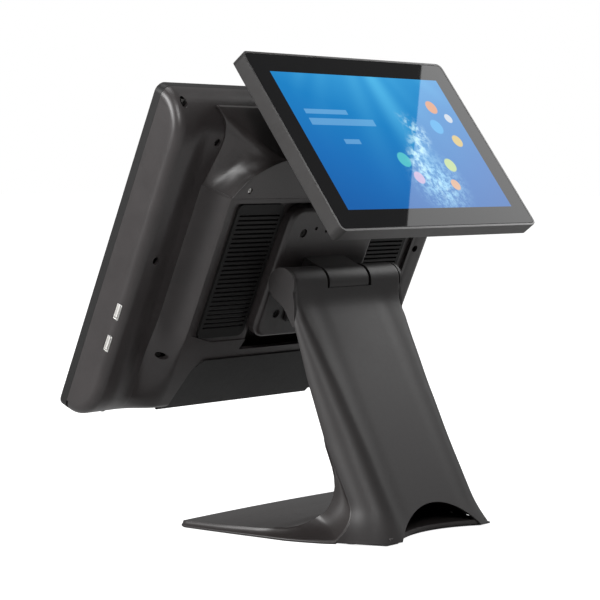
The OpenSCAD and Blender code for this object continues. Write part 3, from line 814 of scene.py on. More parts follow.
def carve(piece: bpy.types.Object, cutter: Shape, crease: float) -> bpy.types.Object:
    """Cut a shape out of a piece for good.

    Args:
        piece: the piece, with any modifier that has to come first.
        cutter: closed shapes to take away.
        crease: the shading's crease angle, in degrees.

    Returns:
        The same piece with its new mesh and no modifiers.
    """
    bmesh.ops.recalc_face_normals(cutter.mesh, faces=cutter.mesh.faces)
    tool = cutter.finish(piece.name + "_cutter")
    step = piece.modifiers.new("cut", "BOOLEAN")
    step.object = tool
    step.operation = "DIFFERENCE"
    step.solver = "EXACT"
    bpy.context.view_layer.update()
    seen = piece.evaluated_get(bpy.context.evaluated_depsgraph_get())
    data = bpy.data.meshes.new_from_object(seen)
    piece.modifiers.clear()
    piece.data = data
    bpy.data.objects.remove(tool)
    mesh = bmesh.new()
    mesh.from_mesh(data)
    shade(mesh, data, crease)
    return piece


def even_shading(piece: bpy.types.Object) -> bpy.types.Object:
    """Let the large faces rule a piece's shading, so that flats stay flat beside rounded edges.

    Args:
        piece: the piece.

    Returns:
        The same piece.
    """
    step = piece.modifiers.new("even", "WEIGHTED_NORMAL")
    step.keep_sharp = True
    step.weight = 90
    return piece


def dress(piece: bpy.types.Object, finish: bpy.types.Material) -> None:
    """Give a piece one finish."""
    piece.data.materials.clear()
    piece.data.materials.append(finish)


def dress_nodes(finish: bpy.types.Material, *nodes: str) -> None:
    """Give CAD nodes that stay as they are one finish."""
    for node in nodes:
        dress(frame["nodes"][node], finish)


def softened(
    node: str, width: float, finish: bpy.types.Material, segments: int = 2
) -> bpy.types.Object:
    """Stand a copy of a CAD node in for it, with its edges broken as a mould leaves them.

    Args:
        node: the CAD node.
        width: width of the rounded edges, in millimetres.
        finish: the copy's finish.
        segments: how many faces round each edge.

    Returns:
        The new piece, riding with the node's body.
    """
    mesh = bmesh.new()
    mesh.from_mesh(frame["nodes"][node].data)
    bmesh.ops.remove_doubles(mesh, verts=mesh.verts, dist=0.000004)
    flat = math.radians(0.6)
    bmesh.ops.dissolve_limit(mesh, angle_limit=flat, verts=mesh.verts, edges=mesh.edges)
    round_edges(mesh, width * MM, segments, 32.0)
    piece = even_shading(solid_object(node + "_body", mesh))
    dress(piece, finish)
    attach(piece, frame["nodes"][node]["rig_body"])
    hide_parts(node)
    return piece


def settle(
    piece: bpy.types.Object, body: Body, finish: bpy.types.Material, slot: str, *nodes: str
) -> bpy.types.Object:
    """Dress a new piece, let it ride on its body and stand in for CAD nodes.

    Args:
        piece: the piece.
        body: the body that it rides on.
        finish: its finish.
        slot: the record's material slot; not used.
        nodes: the CAD nodes that it stands in for.

    Returns:
        The same piece.
    """
    dress(piece, finish)
    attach(piece, body.value)
    if nodes:
        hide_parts(*nodes)
    return piece


# ---- stand ----


@dataclass
class Stand:
    """Base casting, neck cover and tilt hinge; z is from the floor, y from the hinge's axis."""

    palette: Palette
    hinge_z: float = 203.5
    half_width: float = 71.0
    barrel: float = 14.0
    floor_gap: float = 2.0
    arch_half: float = 55.0
    arch_top: float = 26.0
    notch_half: float = 28.7
    flat_share: float = 0.55
    front_height: float = 169.6
    lip: tuple[float, float] = (3.0, 184.8)
    nose: float = -76.0
    roll: list[tuple[float, float]] = field(
        default_factory=lambda: [(2, 22), (60, 21), (110, 18), (150, 14), (180, 9), (203, 2.5)]
    )
    relief: list[tuple[float, float]] = field(
        default_factory=lambda: [(0, 0.0), (30, 0.0), (44, -0.5), (56, 0.0), (60, 0.0)]
    )

    def rear(self, z: float) -> float:
        """Return the rear face's y at a height.

        Args:
            z: the height.

        Returns:
            The place, with the slope blended into the barrel.
        """
        slope, blend = 114.7 - 0.5366 * z, 1.3
        over = (slope - self.barrel) / blend
        return self.barrel + blend * math.log1p(math.exp(over)) if over < 60 else slope

    def front(self, z: float) -> float:
        """Return the front face's y at a height."""
        return 12.0 + 0.384 * (self.front_height - z)

    def hem(self, z: float) -> Point:
        """Return the cover's front edge on the right-hand side.

        Args:
            z: the height.

        Returns:
            The point of the edge.
        """
        if z >= self.front_height:
            y = between([(self.front_height, 14.4), (184.8, 5.5), (self.hinge_z, 13.0)], z)
            return (self.half_width - 3 * ease(z, 186, 200), y, z)
        if z >= 80.0:
            return (self.half_width, self.front(z) + between([(120, 0.0), (169.6, 2.4)], z), z)
        flare = max(30.0 - z, 0.0) ** 2 / 28.0**2
        return (self.half_width + 17 * flare, self.rear(z) - 25.4 - 16 * flare, z)

    def build(self) -> list[bpy.types.Object]:
        """Build every piece of the stand."""
        return [self.cover(), self.casting(), self.cable_floor(), *self.trim()]

    def _row(self, z: float, share: float) -> Point:
        """Return a point of the cover's rear.

        Args:
            z: the height.
            share: the place across, from one front edge at 0 to the other at 1.

        Returns:
            The point.
        """
        side = 1 if share >= 0.5 else -1
        t = abs(share - 0.5) * 2
        edge = self.hem(z)
        radius = between(self.roll, z)
        start = min(edge[0], self.half_width) - radius
        fade = ease(z, 4, 26) * (1 - ease(z, 186, 194))
        top = self.rear(z) + between(self.relief, start) * fade
        if t <= self.flat_share:
            x = start * t / self.flat_share
            return (side * x, self.rear(z) + between(self.relief, x) * fade, z)
        turn = (t - self.flat_share) / (1 - self.flat_share) * math.pi / 2
        x = start + (edge[0] - start) * math.sin(turn)
        y = edge[1] + (top - edge[1]) * math.cos(turn)
        return (side * x, y, z)

    def _wrap(self, turn: float, share: float) -> Point:
        """Return a point of the barrel.

        Args:
            turn: the turn from its rear, in degrees.
            share: the place across, as in the cover's rear.

        Returns:
            The point.
        """
        side, t = (1 if share >= 0.5 else -1), abs(share - 0.5) * 2
        end = self.half_width - 3
        start = end - self.roll[-1][1]
        round_off = max(t - self.flat_share, 0.0) / (1 - self.flat_share) * math.pi / 2
        x = start * min(t / self.flat_share, 1.0) + (end - start) * math.sin(round_off)
        radius = self.barrel - 1 + math.cos(round_off)
        angle = math.radians(turn)
        return (side * x, radius * math.cos(angle), self.hinge_z + radius * math.sin(angle))

    def _skin(self, share: float, rise: float) -> Point:
        """Return a point of the neck cover.

        Args:
            share: the place across, as in the cover's rear.
            rise: the place along, from the foot at 0, over the barrel, to its lip at 1.

        Returns:
            The point.
        """
        neck_rows, barrel_rows, lip_rows, last_turn = 44, 18, 4, 225
        step = rise * (neck_rows + barrel_rows + lip_rows)
        if step <= neck_rows:
            lift = (step / neck_rows) ** 1.15
            return self._row(self.floor_gap + (self.hinge_z - self.floor_gap) * lift, share)
        if step <= neck_rows + barrel_rows:
            return self._wrap((step - neck_rows) / barrel_rows * last_turn, share)
        t = (step - neck_rows - barrel_rows) / lip_rows
        last = self._wrap(last_turn, share)
        end = (last[0], *self.lip)
        return tuple(a + (b - a) * t for a, b in zip(last, end))

    def cover(self) -> bpy.types.Object:
        """Build the hollow neck cover with its arch and the notch for the knuckle.

        Returns:
            The piece.
        """
        shape = Shape(Body.STAND)
        shape.sheet(64, 66, self._skin)
        shape.weld(0.01)
        shape.face_out((0, 60, 100))
        piece = thicken(shape.finish("neck_cover", 45), 2.4)
        radius = (self.arch_half**2 + self.arch_top**2) / (2 * self.arch_top)
        centre = self.arch_top - radius
        notch, axis = self.notch_half, self.hinge_z
        arch, sleeve, above, before, under = (Shape(Body.STAND) for _ in range(5))
        under.slab((-130, 30, -20), (130, 160, 2.1))
        arch.drum(radius, (0, 70, centre), (0, 140, centre), 160)
        sleeve.drum(self.barrel + 0.2, (-notch, 0, axis), (notch, 0, axis), 96)
        above.slab((-notch, -30, axis - 4), (notch, 40, axis + 40))
        before.slab((-notch, -30, axis - 30), (notch, 3.0, axis + 30))
        for cutter in (under, arch, sleeve, above, before):
            piece = carve(piece, cutter, 38)
        break_edges(piece, 0.7, 2, 50)
        return settle(piece, Body.STAND, self.palette.neck, "shell", "neck_rear_cover")

    def _outline(self, y: float) -> float:
        """Return half the base's width on the floor.

        Args:
            y: the place along the base.

        Returns:
            The half width, with the corners of its front edge rounded.
        """
        corner, into = 6.0, y - self.nose
        wide = along([(115.0,), (113.4,), (111.2,), (108.2,), (104.6,)], into / 100)[0]
        if into < corner:
            wide -= corner - math.sqrt(max(corner**2 - (corner - into) ** 2, 0.0))
        return wide

    def _ribs(self) -> list[tuple[Point, Point, float]]:
        """Return the casting's cross lines, from its front edge up the neck.

        Returns:
            For each line its upper end, its lower end and how much it is crowned.
        """
        ribs: list[tuple[Point, Point, float]] = [
            ((106.5, -75.7, 2.0), (108.0, -75.7, 2.0), 0.0),
            ((107.5, -76.0, 4.0), (109.0, -75.9, 2.0), 0.0),
            ((108.5, -75.2, 5.4), (111.0, -75.8, 2.0), 0.2),
        ]
        for y in (-74, -71, -67, -62, -54, -44, -32, -20, -8, 4, 14):
            wide = self._outline(y)
            inset = between([(-76, 2.6), (-40, 3.0), (0, 4.2), (14, 6.0)], y)
            high = between([(-76, 5.8), (-40, 6.7), (0, 7.4), (14, 7.9)], y)
            ribs.append(((wide - inset, y, high), (wide, y, 2.0), 0.9 + (y - self.nose) * 0.03))
        rim = [(94, 24, 8.3), (87, 30, 9.6), (79, 34, 12), (74, 37, 14.4), (71.6, 40.5, 17)]
        places = [(45, 20), (49.4, 24), (53.2, 29.6), (55.8, 35.5), (57.2, 43), (56.4, 51)]
        rim += [(self.half_width, y, z) for y, z in [*places, (53.8, 60), (50.2, 70), (46.6, 80)]]
        low = [(103.5, 32, 2), (100, 44, 2), (96.5, 54, 2), (92.5, 64, 2), (88, 72, 2)]
        low += [self.hem(z) for z in (4.5, 8, 12.5, 18, 25, 34, 46, 62, 80)]
        crown = [2.8, 2.5, 2.0, 1.5, 1.0, 0.6, 0.3, 0.1, 0, 0, 0, 0, 0, 0]
        ribs += [(r, tuple(b), c) for r, b, c in zip(rim, low, crown)]
        for z in (95, 112, 130, 150, 169.6, 184.4):
            y = self.front(z) + 0.4 if z < 170 else 3.0
            x = 70.6 - 2 * ease(z, 90, 140)
            ribs.append(((x, y, z), (x, y + 4, z), 0.0))
        return ribs

    def casting(self) -> bpy.types.Object:
        """Build the base and the neck's front as one flowing skin.

        Returns:
            The piece.
        """
        ribs, deck = self._ribs(), 0.7
        uppers, lowers, crowns = [r[0] for r in ribs], [r[1] for r in ribs], [r[2:] for r in ribs]

        def surface(share: float, rise: float) -> Point:
            """Return a point of the casting.

            Args:
                share: the place across, from 0 to 1.
                rise: the place along, from the front edge at 0 to the neck's top at 1.

            Returns:
                The point.
            """
            upper, lower, crown = (along(lines, rise) for lines in (uppers, lowers, crowns))
            side = 1 if share >= 0.5 else -1
            t = abs(share - 0.5) * 2
            if t <= deck:
                x = upper[0] * t / deck
                lift = crown[0] * (1 - (t / deck) ** 2)
                return (side * x, upper[1], upper[2] + lift)
            t = (t - deck) / (1 - deck)
            point = [a + (b - a) * t for a, b in zip(upper, lower)]
            hollow = 0.16 * math.dist(upper, lower) * math.sin(math.pi * t)
            x, y, z = (a - hollow * b for a, b in zip(point, (0.8, 0.35, 0.1)))
            return (side * x, y, z)

        shape = Shape(Body.STAND)
        shape.sheet(60, (len(ribs) - 1) * 2, surface)
        shape.weld(0.02)
        shape.face_out((0, 60, 5))
        piece = thicken(shape.finish("base_casting", 50), 1.8)
        return settle(piece, Body.STAND, self.palette.casting, "casting", "stand_casting")

    def cable_floor(self) -> bpy.types.Object:
        """Build the floor under the arch, with its hollow rear edge.

        Returns:
            The piece.
        """

        half, front, sweep = 64, 66, 95

        def surface(share: float, rise: float) -> Point:
            """Return a point of the floor.

            Args:
                share: the place across, from 0 to 1.
                rise: the place along, from its front at 0 to its hollow rear edge at 1.

            Returns:
                The point.
            """
            x = (share - 0.5) * 2 * half
            back = min(190 - math.sqrt(sweep**2 - x**2), 109.5)
            return (x, front + (back - front) * rise, 6.0)

        shape = Shape(Body.STAND)
        shape.sheet(48, 6, surface)
        shape.face_out((0, 80, -50))
        piece = break_edges(thicken(shape.finish("cable_bay_floor"), 3.6), 0.5, 2)
        return settle(piece, Body.STAND, self.palette.casting, "casting")

    def trim(self) -> list[bpy.types.Object]:
        """Build the caps and dress what else shows of the stand.

        Returns:
            The new pieces.
        """
        own = self.palette
        made = [
            softened("hinge_cap_left", 1.3, own.neck, 3),
            softened("hinge_cap_right", 1.3, own.neck, 3),
            softened("base_bottom_cover", 0.4, own.inner),
            softened("rubber_feet", 0.3, own.rubber),
        ]
        low, screw_top = softened("bottom_screws", 0.1, own.steel), 4.8 * MM
        for vert in low.data.vertices:
            vert.co.z = min(vert.co.z, screw_top)
        made.append(low)
        dress_nodes(own.steel, "hinge_bracket_left", "hinge_bracket_right", "hinge_shaft")
        dress_nodes(own.steel, "friction_washers")
        dress_nodes(own.screw, "shaft_nuts", "neck_cover_screws")
        dress_nodes(own.inner, "base_ballast")
        return made


# ---- head ----


@dataclass
class Head:
    """Main screen and the housing behind it, in the head's millimetres: x, out of the back, up."""

    palette: Palette
    half_width: float = 186.0
    low: float = -150.0
    high: float = 137.0
    seam: float = -83.0
    band: float = -56.0
    panel: float = -29.0
    rim: float = 4.2
    fillet: float = 8.5
    top_round: float = 30.0
    foot_round: float = 25.0
    usb_places: tuple[float, float] = (-48.0, -76.5)
    grille: float = -32.0
    slope: float = -62.0
    rise_foot: float = 139.0
    rise_top: float = 130.0
    wing_tip: tuple[float, float] = (77.5, 98)

    def build(self) -> list[bpy.types.Object]:
        """Build every piece of the head."""
        made = [self.cover(), self.raised(), self.hood(), self.plate(), self.knuckle()]
        return [*made, *self.glass(), *self.trim()]

    def _profile(self, t: float) -> tuple[float, float, float, float]:
        """Return the housing's side outline.

        Args:
            t: the share of the way down, round the top edge, down the band and round the foot.

        Returns:
            The place out of the back and up, and the outward direction there.
        """
        top, foot = self.top_round, self.foot_round
        top_end, foot_start = 0.24, 0.8
        first = math.acos((self.seam - self.band + top) / top)
        if t < top_end:
            angle = first * (1 - t / top_end)
            n = self.band - top + top * math.cos(angle)
            v = self.high - top + top * math.sin(angle)
            return n, v, math.cos(angle), math.sin(angle)
        if t < foot_start:
            part = (t - top_end) / (foot_start - top_end)
            start, end = self.high - top, self.low + foot
            return self.band, start + (end - start) * part, 1.0, 0.0
        angle = (t - foot_start) / (1 - foot_start) * math.pi / 2
        n = self.band - foot + foot * math.cos(angle)
        v = self.low + foot - foot * math.sin(angle)
        return n, v, math.cos(angle), -math.sin(angle)

    def _rim_height(self, x: float, v: float) -> float:
        """Return how far the rim along the side stands over the band."""
        across = ease(x, 146, 169)
        return self.rim * across * (1 - ease(v, 96, 131)) * ease(v, -151, -112)

    def _cover_point(self, share: float, rise: float) -> Point:
        """Return a point of the rear cover's skin.

        Args:
            share: the place across, from 0 to 1.
            rise: the place along, from the bottom seam at 0 to the top one at 1.

        Returns:
            The point.
        """
        flat_end, round_end = 0.6, 0.84
        side = 1 if share >= 0.5 else -1
        t = abs(share - 0.5) * 2
        n, v, out_n, out_v = self._profile(1 - rise)
        inner = self.half_width - self.fillet
        if t <= flat_end:
            x = self._spread(t / flat_end, inner)
            lift = self._rim_height(x, v)
            return (side * x, n + out_n * lift, v + out_v * lift)
        lift = self._rim_height(inner, v)
        base_n, base_v = n + out_n * (lift - self.fillet), v + out_v * (lift - self.fillet)
        if t <= round_end:
            turn = (t - flat_end) / (round_end - flat_end) * math.pi / 2
            reach = self.fillet * math.cos(turn)
            x = inner + self.fillet * math.sin(turn)
            return (side * x, max(base_n + out_n * reach, self.seam), base_v + out_v * reach)
        drop = (t - round_end) / (1 - round_end)
        start = max(base_n, self.seam)
        return (side * self.half_width, start + (self.seam - start) * drop, base_v)

    @staticmethod
    def _spread(t: float, inner: float) -> float:
        """Return the x of a column, close together where the band meets the rim."""
        columns = (0, 70, 125, 135, 141, 146, 150, 154, 158, 162, 166, 170, 174, inner)
        return along([(x,) for x in columns], t)[0]

    def cover(self) -> bpy.types.Object:
        """Build the rear cover with its rim, its sockets' windows and its screw wells.

        Returns:
            The piece.
        """
        shape = Shape(Body.HEAD)
        shape.sheet(88, 72, self._cover_point)
        shape.weld(0.02)
        shape.face_out((0, -78, 0))
        piece = thicken(shape.finish("rear_housing", 50), 2.2)
        cutter = Shape(Body.HEAD)
        for v in self.usb_places:
            cutter.slab((176, -61.85, v - 6.9), (192, -56.15, v + 6.9))
        for x, n, v in self.wells():
            cutter.drum(3.3, (x, n - 9, v), (x, n + 6, v), 28)
        cutter.slab((-62, -81.2, -154), (62, -69, -143))
        cutter.drum(4.3, (150, -77, -154), (150, -77, -143), 40)
        piece = carve(piece, cutter, 40)
        return settle(piece, Body.HEAD, self.palette.shell, "shell", "rear_cover")

    def _ground(self, v: float) -> float:
        """Return how far out the rear cover's band lies at a height."""
        under = max(self.low + self.foot_round - v, 0.0)
        return self.band - self.foot_round + math.sqrt(max(self.foot_round**2 - under**2, 0.0))

    def _summit(self, v: float) -> float:
        """Return how far out the raised centre stands at a height."""
        open_slope = self.panel - 1.2 * math.log1p(math.exp((self.slope - v) / 4.0))
        return open_slope + (self._ground(v) - open_slope) * ease(-v, 137, 149.5)

    def _raised_point(self, share: float, rise: float) -> Point:
        """Return a point of the raised centre.

        Args:
            share: the place across, from 0 to 1.
            rise: the place along, from its foot at 0 to its top seam at 1.

        Returns:
            The point.
        """
        heights = [64, 50, 30, 0, -30, -50, -56, -60, -64, -68, -74, -82, -90, -100, -110]
        heights += [-120, -128, -134, -138, -142, -145, -147.5, -149.4]
        v = along([(h,) for h in heights], 1 - rise)[0]
        widths = [0, 50, 97, 103, 108, 112, 116, 120, 123, 126, *range(128, 140), 141, 143, 146]
        x = along([(w,) for w in widths], abs(share - 0.5) * 2)[0]
        low = ease(-v, 50, 95)
        foot, top = self.rise_foot + 4 * low, self.rise_top - 22 * ease(-v, 55, 140)
        s = min(max((foot - x) / (foot - top), 0.0), 1.0)
        lift = s + (s * s * (3 - 2 * s) - s) * (0.5 + 0.5 * low)
        ground = self._ground(v) - 1.2 * ease(x, foot - 2, foot + 3)
        return (x if share >= 0.5 else -x, ground + (self._summit(v) - self._ground(v)) * lift, v)

    def raised(self) -> bpy.types.Object:
        """Build the raised centre that carries the grilles, blended into the cover at its sides.

        Returns:
            The piece.
        """
        shape = Shape(Body.HEAD)
        shape.sheet(96, 88, self._raised_point)
        shape.weld(0.02)
        shape.stretch((0, -4.6, 0))
        piece = shape.finish("raised_centre", 50)
        recess, pocket, holes, bay = (Shape(Body.HEAD) for _ in range(4))
        wide = 126.5
        recess.slab((-wide, self.grille, -67.5), (wide, -20, 60))
        for side in (1, -1):
            geom = [*recess.mesh.verts, *recess.mesh.edges, *recess.mesh.faces]
            corner, slant = (wide * side, 0, -58.5), Vector((9 * side, 0, -31))
            cut = bmesh.ops.bisect_plane(
                recess.mesh, geom=geom, plane_co=corner, plane_no=slant, clear_outer=True
            )
            edges = [g for g in cut["geom_cut"] if isinstance(g, bmesh.types.BMEdge)]
            bmesh.ops.holes_fill(recess.mesh, edges=edges)
        recess.soften(5.0, 5, 25, lambda e: self._depth(e) > 1)
        pocket.slab((-54, -60, -79), (54, -20, -56))
        for side in (1, -1):
            left, right = sorted((65 * side, 113 * side))
            holes.slab((left, -50, -55), (right, -25, 51))
            holes.drum(3.2, (133 * side, -51, -85), (133 * side, -38, -85), 28)
        holes.slab((-42, -50, -44), (42, -20, 40))
        bay.slab((-98, -82, -158), (98, -20, -89.4))
        bay.soften(13, 7, 60, lambda e: all(v.co.z > -90 for v in e.verts) and self._depth(e) > 9)
        for cutter in (recess, pocket, holes, bay):
            piece = carve(piece, cutter, 40)
        even_shading(break_edges(piece, 0.9, 3, 48))
        return settle(piece, Body.HEAD, self.palette.shell, "shell", "vent_frame")

    @staticmethod
    def _depth(edge: bmesh.types.BMEdge) -> float:
        """Return how far an edge runs out of the back."""
        return abs(edge.verts[0].co.y - edge.verts[1].co.y)

    def knuckle(self) -> bpy.types.Object:
        """Build the knuckle a little fuller than its core, so that it fills the notch of the neck.

        Returns:
            The piece.
        """
        piece = softened("hinge_knuckle", 0.9, self.palette.neck, 3)
        centre = hinge_point()
        core, full, narrowed = 12.4 * MM, 13.8 * MM, 0.955
        for vert in piece.data.vertices:
            arm = Vector((0, vert.co.y - centre.y, vert.co.z - centre.z))
            if 9 * MM < arm.length < 13.6 * MM:
                vert.co += arm * (full / core - 1)
            vert.co.x *= narrowed
        return piece

    @staticmethod
    def wells() -> list[Point]:
        """Return the screw wells of the rear cover."""
        right = ((168, -56, 0), (136, -56, 101), (176, -64, 130))
        return [(x * side, n, v) for x, n, v in right for side in (1, -1)]

    def _seam_line(self, u: float) -> Vector:
        """Return the hood wing's lower edge, on the seam, from the band up to the panel."""
        start = Vector((self.rise_foot - 0.6, self.band + 0.6, 64))
        return start.lerp(Vector((self.rise_top, self.panel, 64)), u)

    def _ridge_line(self, u: float) -> Vector:
        """Return the line between the wing and the bevel, from the corner to the tip.

        Args:
            u: the share of the way along.

        Returns:
            The point.
        """
        places = [(142, 129.6), (126, 120), (113, 113.2), (104.5, 109), (94, 104), (84, 99.6)]
        x, v = along([*places, self.wing_tip], u)
        return Vector((x, self._bevel(v), v))

    def _bevel(self, v: float) -> float:
        """Return how far out the bevelled top lies at a height."""
        return self.panel - (v - self.wing_tip[1]) * 31 / 30

    def _border_line(self, w: float) -> Vector:
        """Return the wing's outer border on the band.

        Args:
            w: the share of the way from the seam to the corner.

        Returns:
            The point.
        """
        places = [(138.4, 64), (136, 75), (133.2, 86), (130.6, 97), (130.2, 106)]
        x, v = along([*places, (132.8, 114), (137, 122), (142, 129.6)], w)
        over = max(v - (self.high - self.top_round), 0.0)
        n = self.band - self.top_round + math.sqrt(self.top_round**2 - over**2)
        top = between([(110, 0.0), (129.6, 1.0)], v)
        return Vector((x, (n + 0.9) * (1 - top) + self._bevel(v) * top, v))

    def _panel_line(self, w: float) -> Vector:
        """Return the wing's edge on the flat panel, from the seam to the tip.

        Args:
            w: the share of the way along.

        Returns:
            The point.
        """
        places = [(self.rise_top, 64), (124, 71.5), (118, 79), (111, 84.5), (102, 89.5)]
        x, v = along([*places, (91, 94.5), (82, 97.2), self.wing_tip], w)
        return Vector((x, self.panel, v))

    def _wing(self, u: float, w: float) -> Vector:
        """Return a point of the scooped wing between its four lines.

        Args:
            u: the place across, from the outer border at 0 to the panel at 1.
            w: the place along, from the seam at 0 to the ridge at 1.

        Returns:
            The point.
        """
        low, high = self._seam_line(u), self._ridge_line(u)
        left, right = self._border_line(w), self._panel_line(w)
        ruled = low.lerp(high, w) + left.lerp(right, u)
        foot = self._seam_line(0).lerp(self._seam_line(1), u)
        head = self._ridge_line(0).lerp(self._ridge_line(1), u)
        scoop = 3.4 * math.sin(math.pi * u) * math.sin(math.pi * w)
        return ruled - foot.lerp(head, w) - Vector((0.62, 0.58, 0.42)) * scoop

    def hood(self) -> bpy.types.Object:
        """Build the hood: flat panel, bevelled top and a scooped wing on each side.

        Returns:
            The piece.
        """
        shape = Shape(Body.HEAD)
        columns, rows, middle = 24, 28, 40
        for side in (1, -1):
            shape.sheet(columns, rows, lambda u, w, s=side: self._sided(self._wing(u, w), s))
        shape.sheet(middle, rows, lambda u, w: self._between_sides(self._panel_line(w), u))
        shape.sheet(middle, columns, lambda u, w: self._between_sides(self._ridge_line(1 - w), u))
        shape.weld(0.05)
        shape.face_out((0, -90, 70))
        rim = [e for e in shape.mesh.edges if len(e.link_faces) == 1]
        made = bmesh.ops.extrude_edge_only(shape.mesh, edges=rim)["geom"]
        moved = [g for g in made if isinstance(g, bmesh.types.BMVert)]
        for vert in moved:
            vert.co.y = max(vert.co.y - 6.0, self.band - 9) if vert.co.z > 66 else vert.co.y - 2.0
        bmesh.ops.recalc_face_normals(shape.mesh, faces=shape.mesh.faces)
        piece = break_edges(shape.finish("hood_shell", 32), 0.9, 3, 24)
        cutter = Shape(Body.HEAD)
        for side in (1, -1):
            cutter.drum(2.7, (111 * side, -34, 71), (111 * side, -20, 71), 28)
        piece = carve(thicken(piece, 1.6), cutter, 32)
        return settle(piece, Body.HEAD, self.palette.hood, "shell", "hood_cover")

    @staticmethod
    def _sided(point: Vector, side: int) -> Point:
        """Return a right-hand point, or its mirror image on the left."""
        return (point.x * side, point.y, point.z)

    @staticmethod
    def _between_sides(edge: Vector, share: float) -> Point:
        """Return a point between a right-hand place and its mirror image."""
        return (edge.x * (share * 2 - 1), edge.y, edge.z)

    def plate(self) -> bpy.types.Object:
        """Build the mounting plate with its soft shoulder, wells and small holes.

        Returns:
            The piece.
        """
        shape = Shape(Body.HEAD)
        half, tall, middle = 58, 60, -2
        bmesh.ops.create_grid(shape.mesh, x_segments=1, y_segments=1, size=1.0)
        for vert in shape.mesh.verts:
            vert.co = Vector((vert.co.x * half, -31.5, middle + vert.co.y * tall))
        bmesh.ops.bevel(
            shape.mesh,
            geom=list(shape.mesh.verts),
            offset=15,
            offset_type="OFFSET",
            segments=12,
            profile=0.5,
            affect="VERTICES",
            material=-1,
        )
        shape.stretch((0, 10.2, 0))
        shape.soften(4.2, 6, 60, lambda e: all(v.co.y > -25 for v in e.verts))
        piece = shape.finish("mounting_plate", 40)
        cutter = Shape(Body.HEAD)
        for x in (-37.5, 37.5):
            for v in (-39.5, 35.5):
                cutter.drum(4.0, (x, -24.4, v), (x, -15, v), 32)
        for x, v in ((23, 39.5), (-23, 39.5), (9, 37), (-9, 37)):
            cutter.drum(1.7, (x, -26, v), (x, -15, v), 20)
        piece = even_shading(carve(piece, cutter, 38))
        return settle(piece, Body.HEAD, self.palette.shell, "shell", "mount_plate")

    def glass(self) -> list[bpy.types.Object]:
        """Build the touch glass with its lit picture, and the frame around it.

        Returns:
            The two pieces.
        """
        middle = (0.0, -91.0, (self.low + self.high) / 2)
        lit = LitGlass("main_screen", Body.HEAD, middle, 163.0, 126.5, 1.0, True).build()
        return [
            softened("touch_glass", 0.5, lit),
            softened("front_frame", 0.7, self.palette.bezel, 3),
        ]

    def trim(self) -> list[bpy.types.Object]:
        """Build what else shows of the head and dress the pieces inside.

        Returns:
            The new pieces.
        """
        own = self.palette
        made = [
            softened("connector_bay_cover", 0.7, own.vent),
            softened("vent_grille_left", 0.35, own.vent),
            softened("vent_grille_right", 0.35, own.vent),
            softened("rear_connectors", 0.25, own.inner),
            softened("usb_port_upper", 0.12, own.bright),
            softened("usb_port_lower", 0.12, own.bright),
            softened("display_arm", 1.0, own.shell, 3),
        ]
        sunk = softened("flank_screws", 0.1, own.screw)
        inward = placement(Body.HEAD).to_3x3() @ Vector((0, -2.8, 0))
        for vert in sunk.data.vertices:
            vert.co += inward
        made.append(sunk)
        dress_nodes(own.screw, "case_screws", "mount_plate_screws")
        dress_nodes(own.steel, "hood_screws", "display_arm_screws", "display_hinge_pin")
        dress_nodes(own.steel, "chassis_plate", "lcd_panel")
        dress_nodes(own.board, "mainboard", "memory_module", "touch_controller", "wireless_antenna")
        dress_nodes(own.aluminium, "heat_sink", "solid_state_drive")
        dress_nodes(own.inner, "speaker_left", "speaker_right")
        made.append(softened("power_button", 0.4, own.inner))
        return made


# ---- customer display ----


@dataclass
class CustomerDisplay:
    """The customer's screen in its shallow case."""

    palette: Palette
    half_width: float = 108.5
    half_height: float = 67.8

    def build(self) -> list[bpy.types.Object]:
        """Build every piece of the customer display.

        Returns:
            The new pieces.
        """
        own = self.palette
        size = (self.half_width, self.half_height)
        lit = LitGlass("customer_screen", Body.DISPLAY, (0.0, 0.0, 0.0), *size, -1.0, False)
        dress_nodes(own.steel, "display_lcd")
        dress_nodes(own.board, "display_driver_board")
        dress_nodes(own.screw, "display_case_screws")
        return [
            softened("display_rear_case", 0.8, own.case, 3),
            softened("display_front_glass", 0.4, lit.build()),
            softened("display_hinge_ears", 0.5, own.shell),
        ]


# ---- studio ----


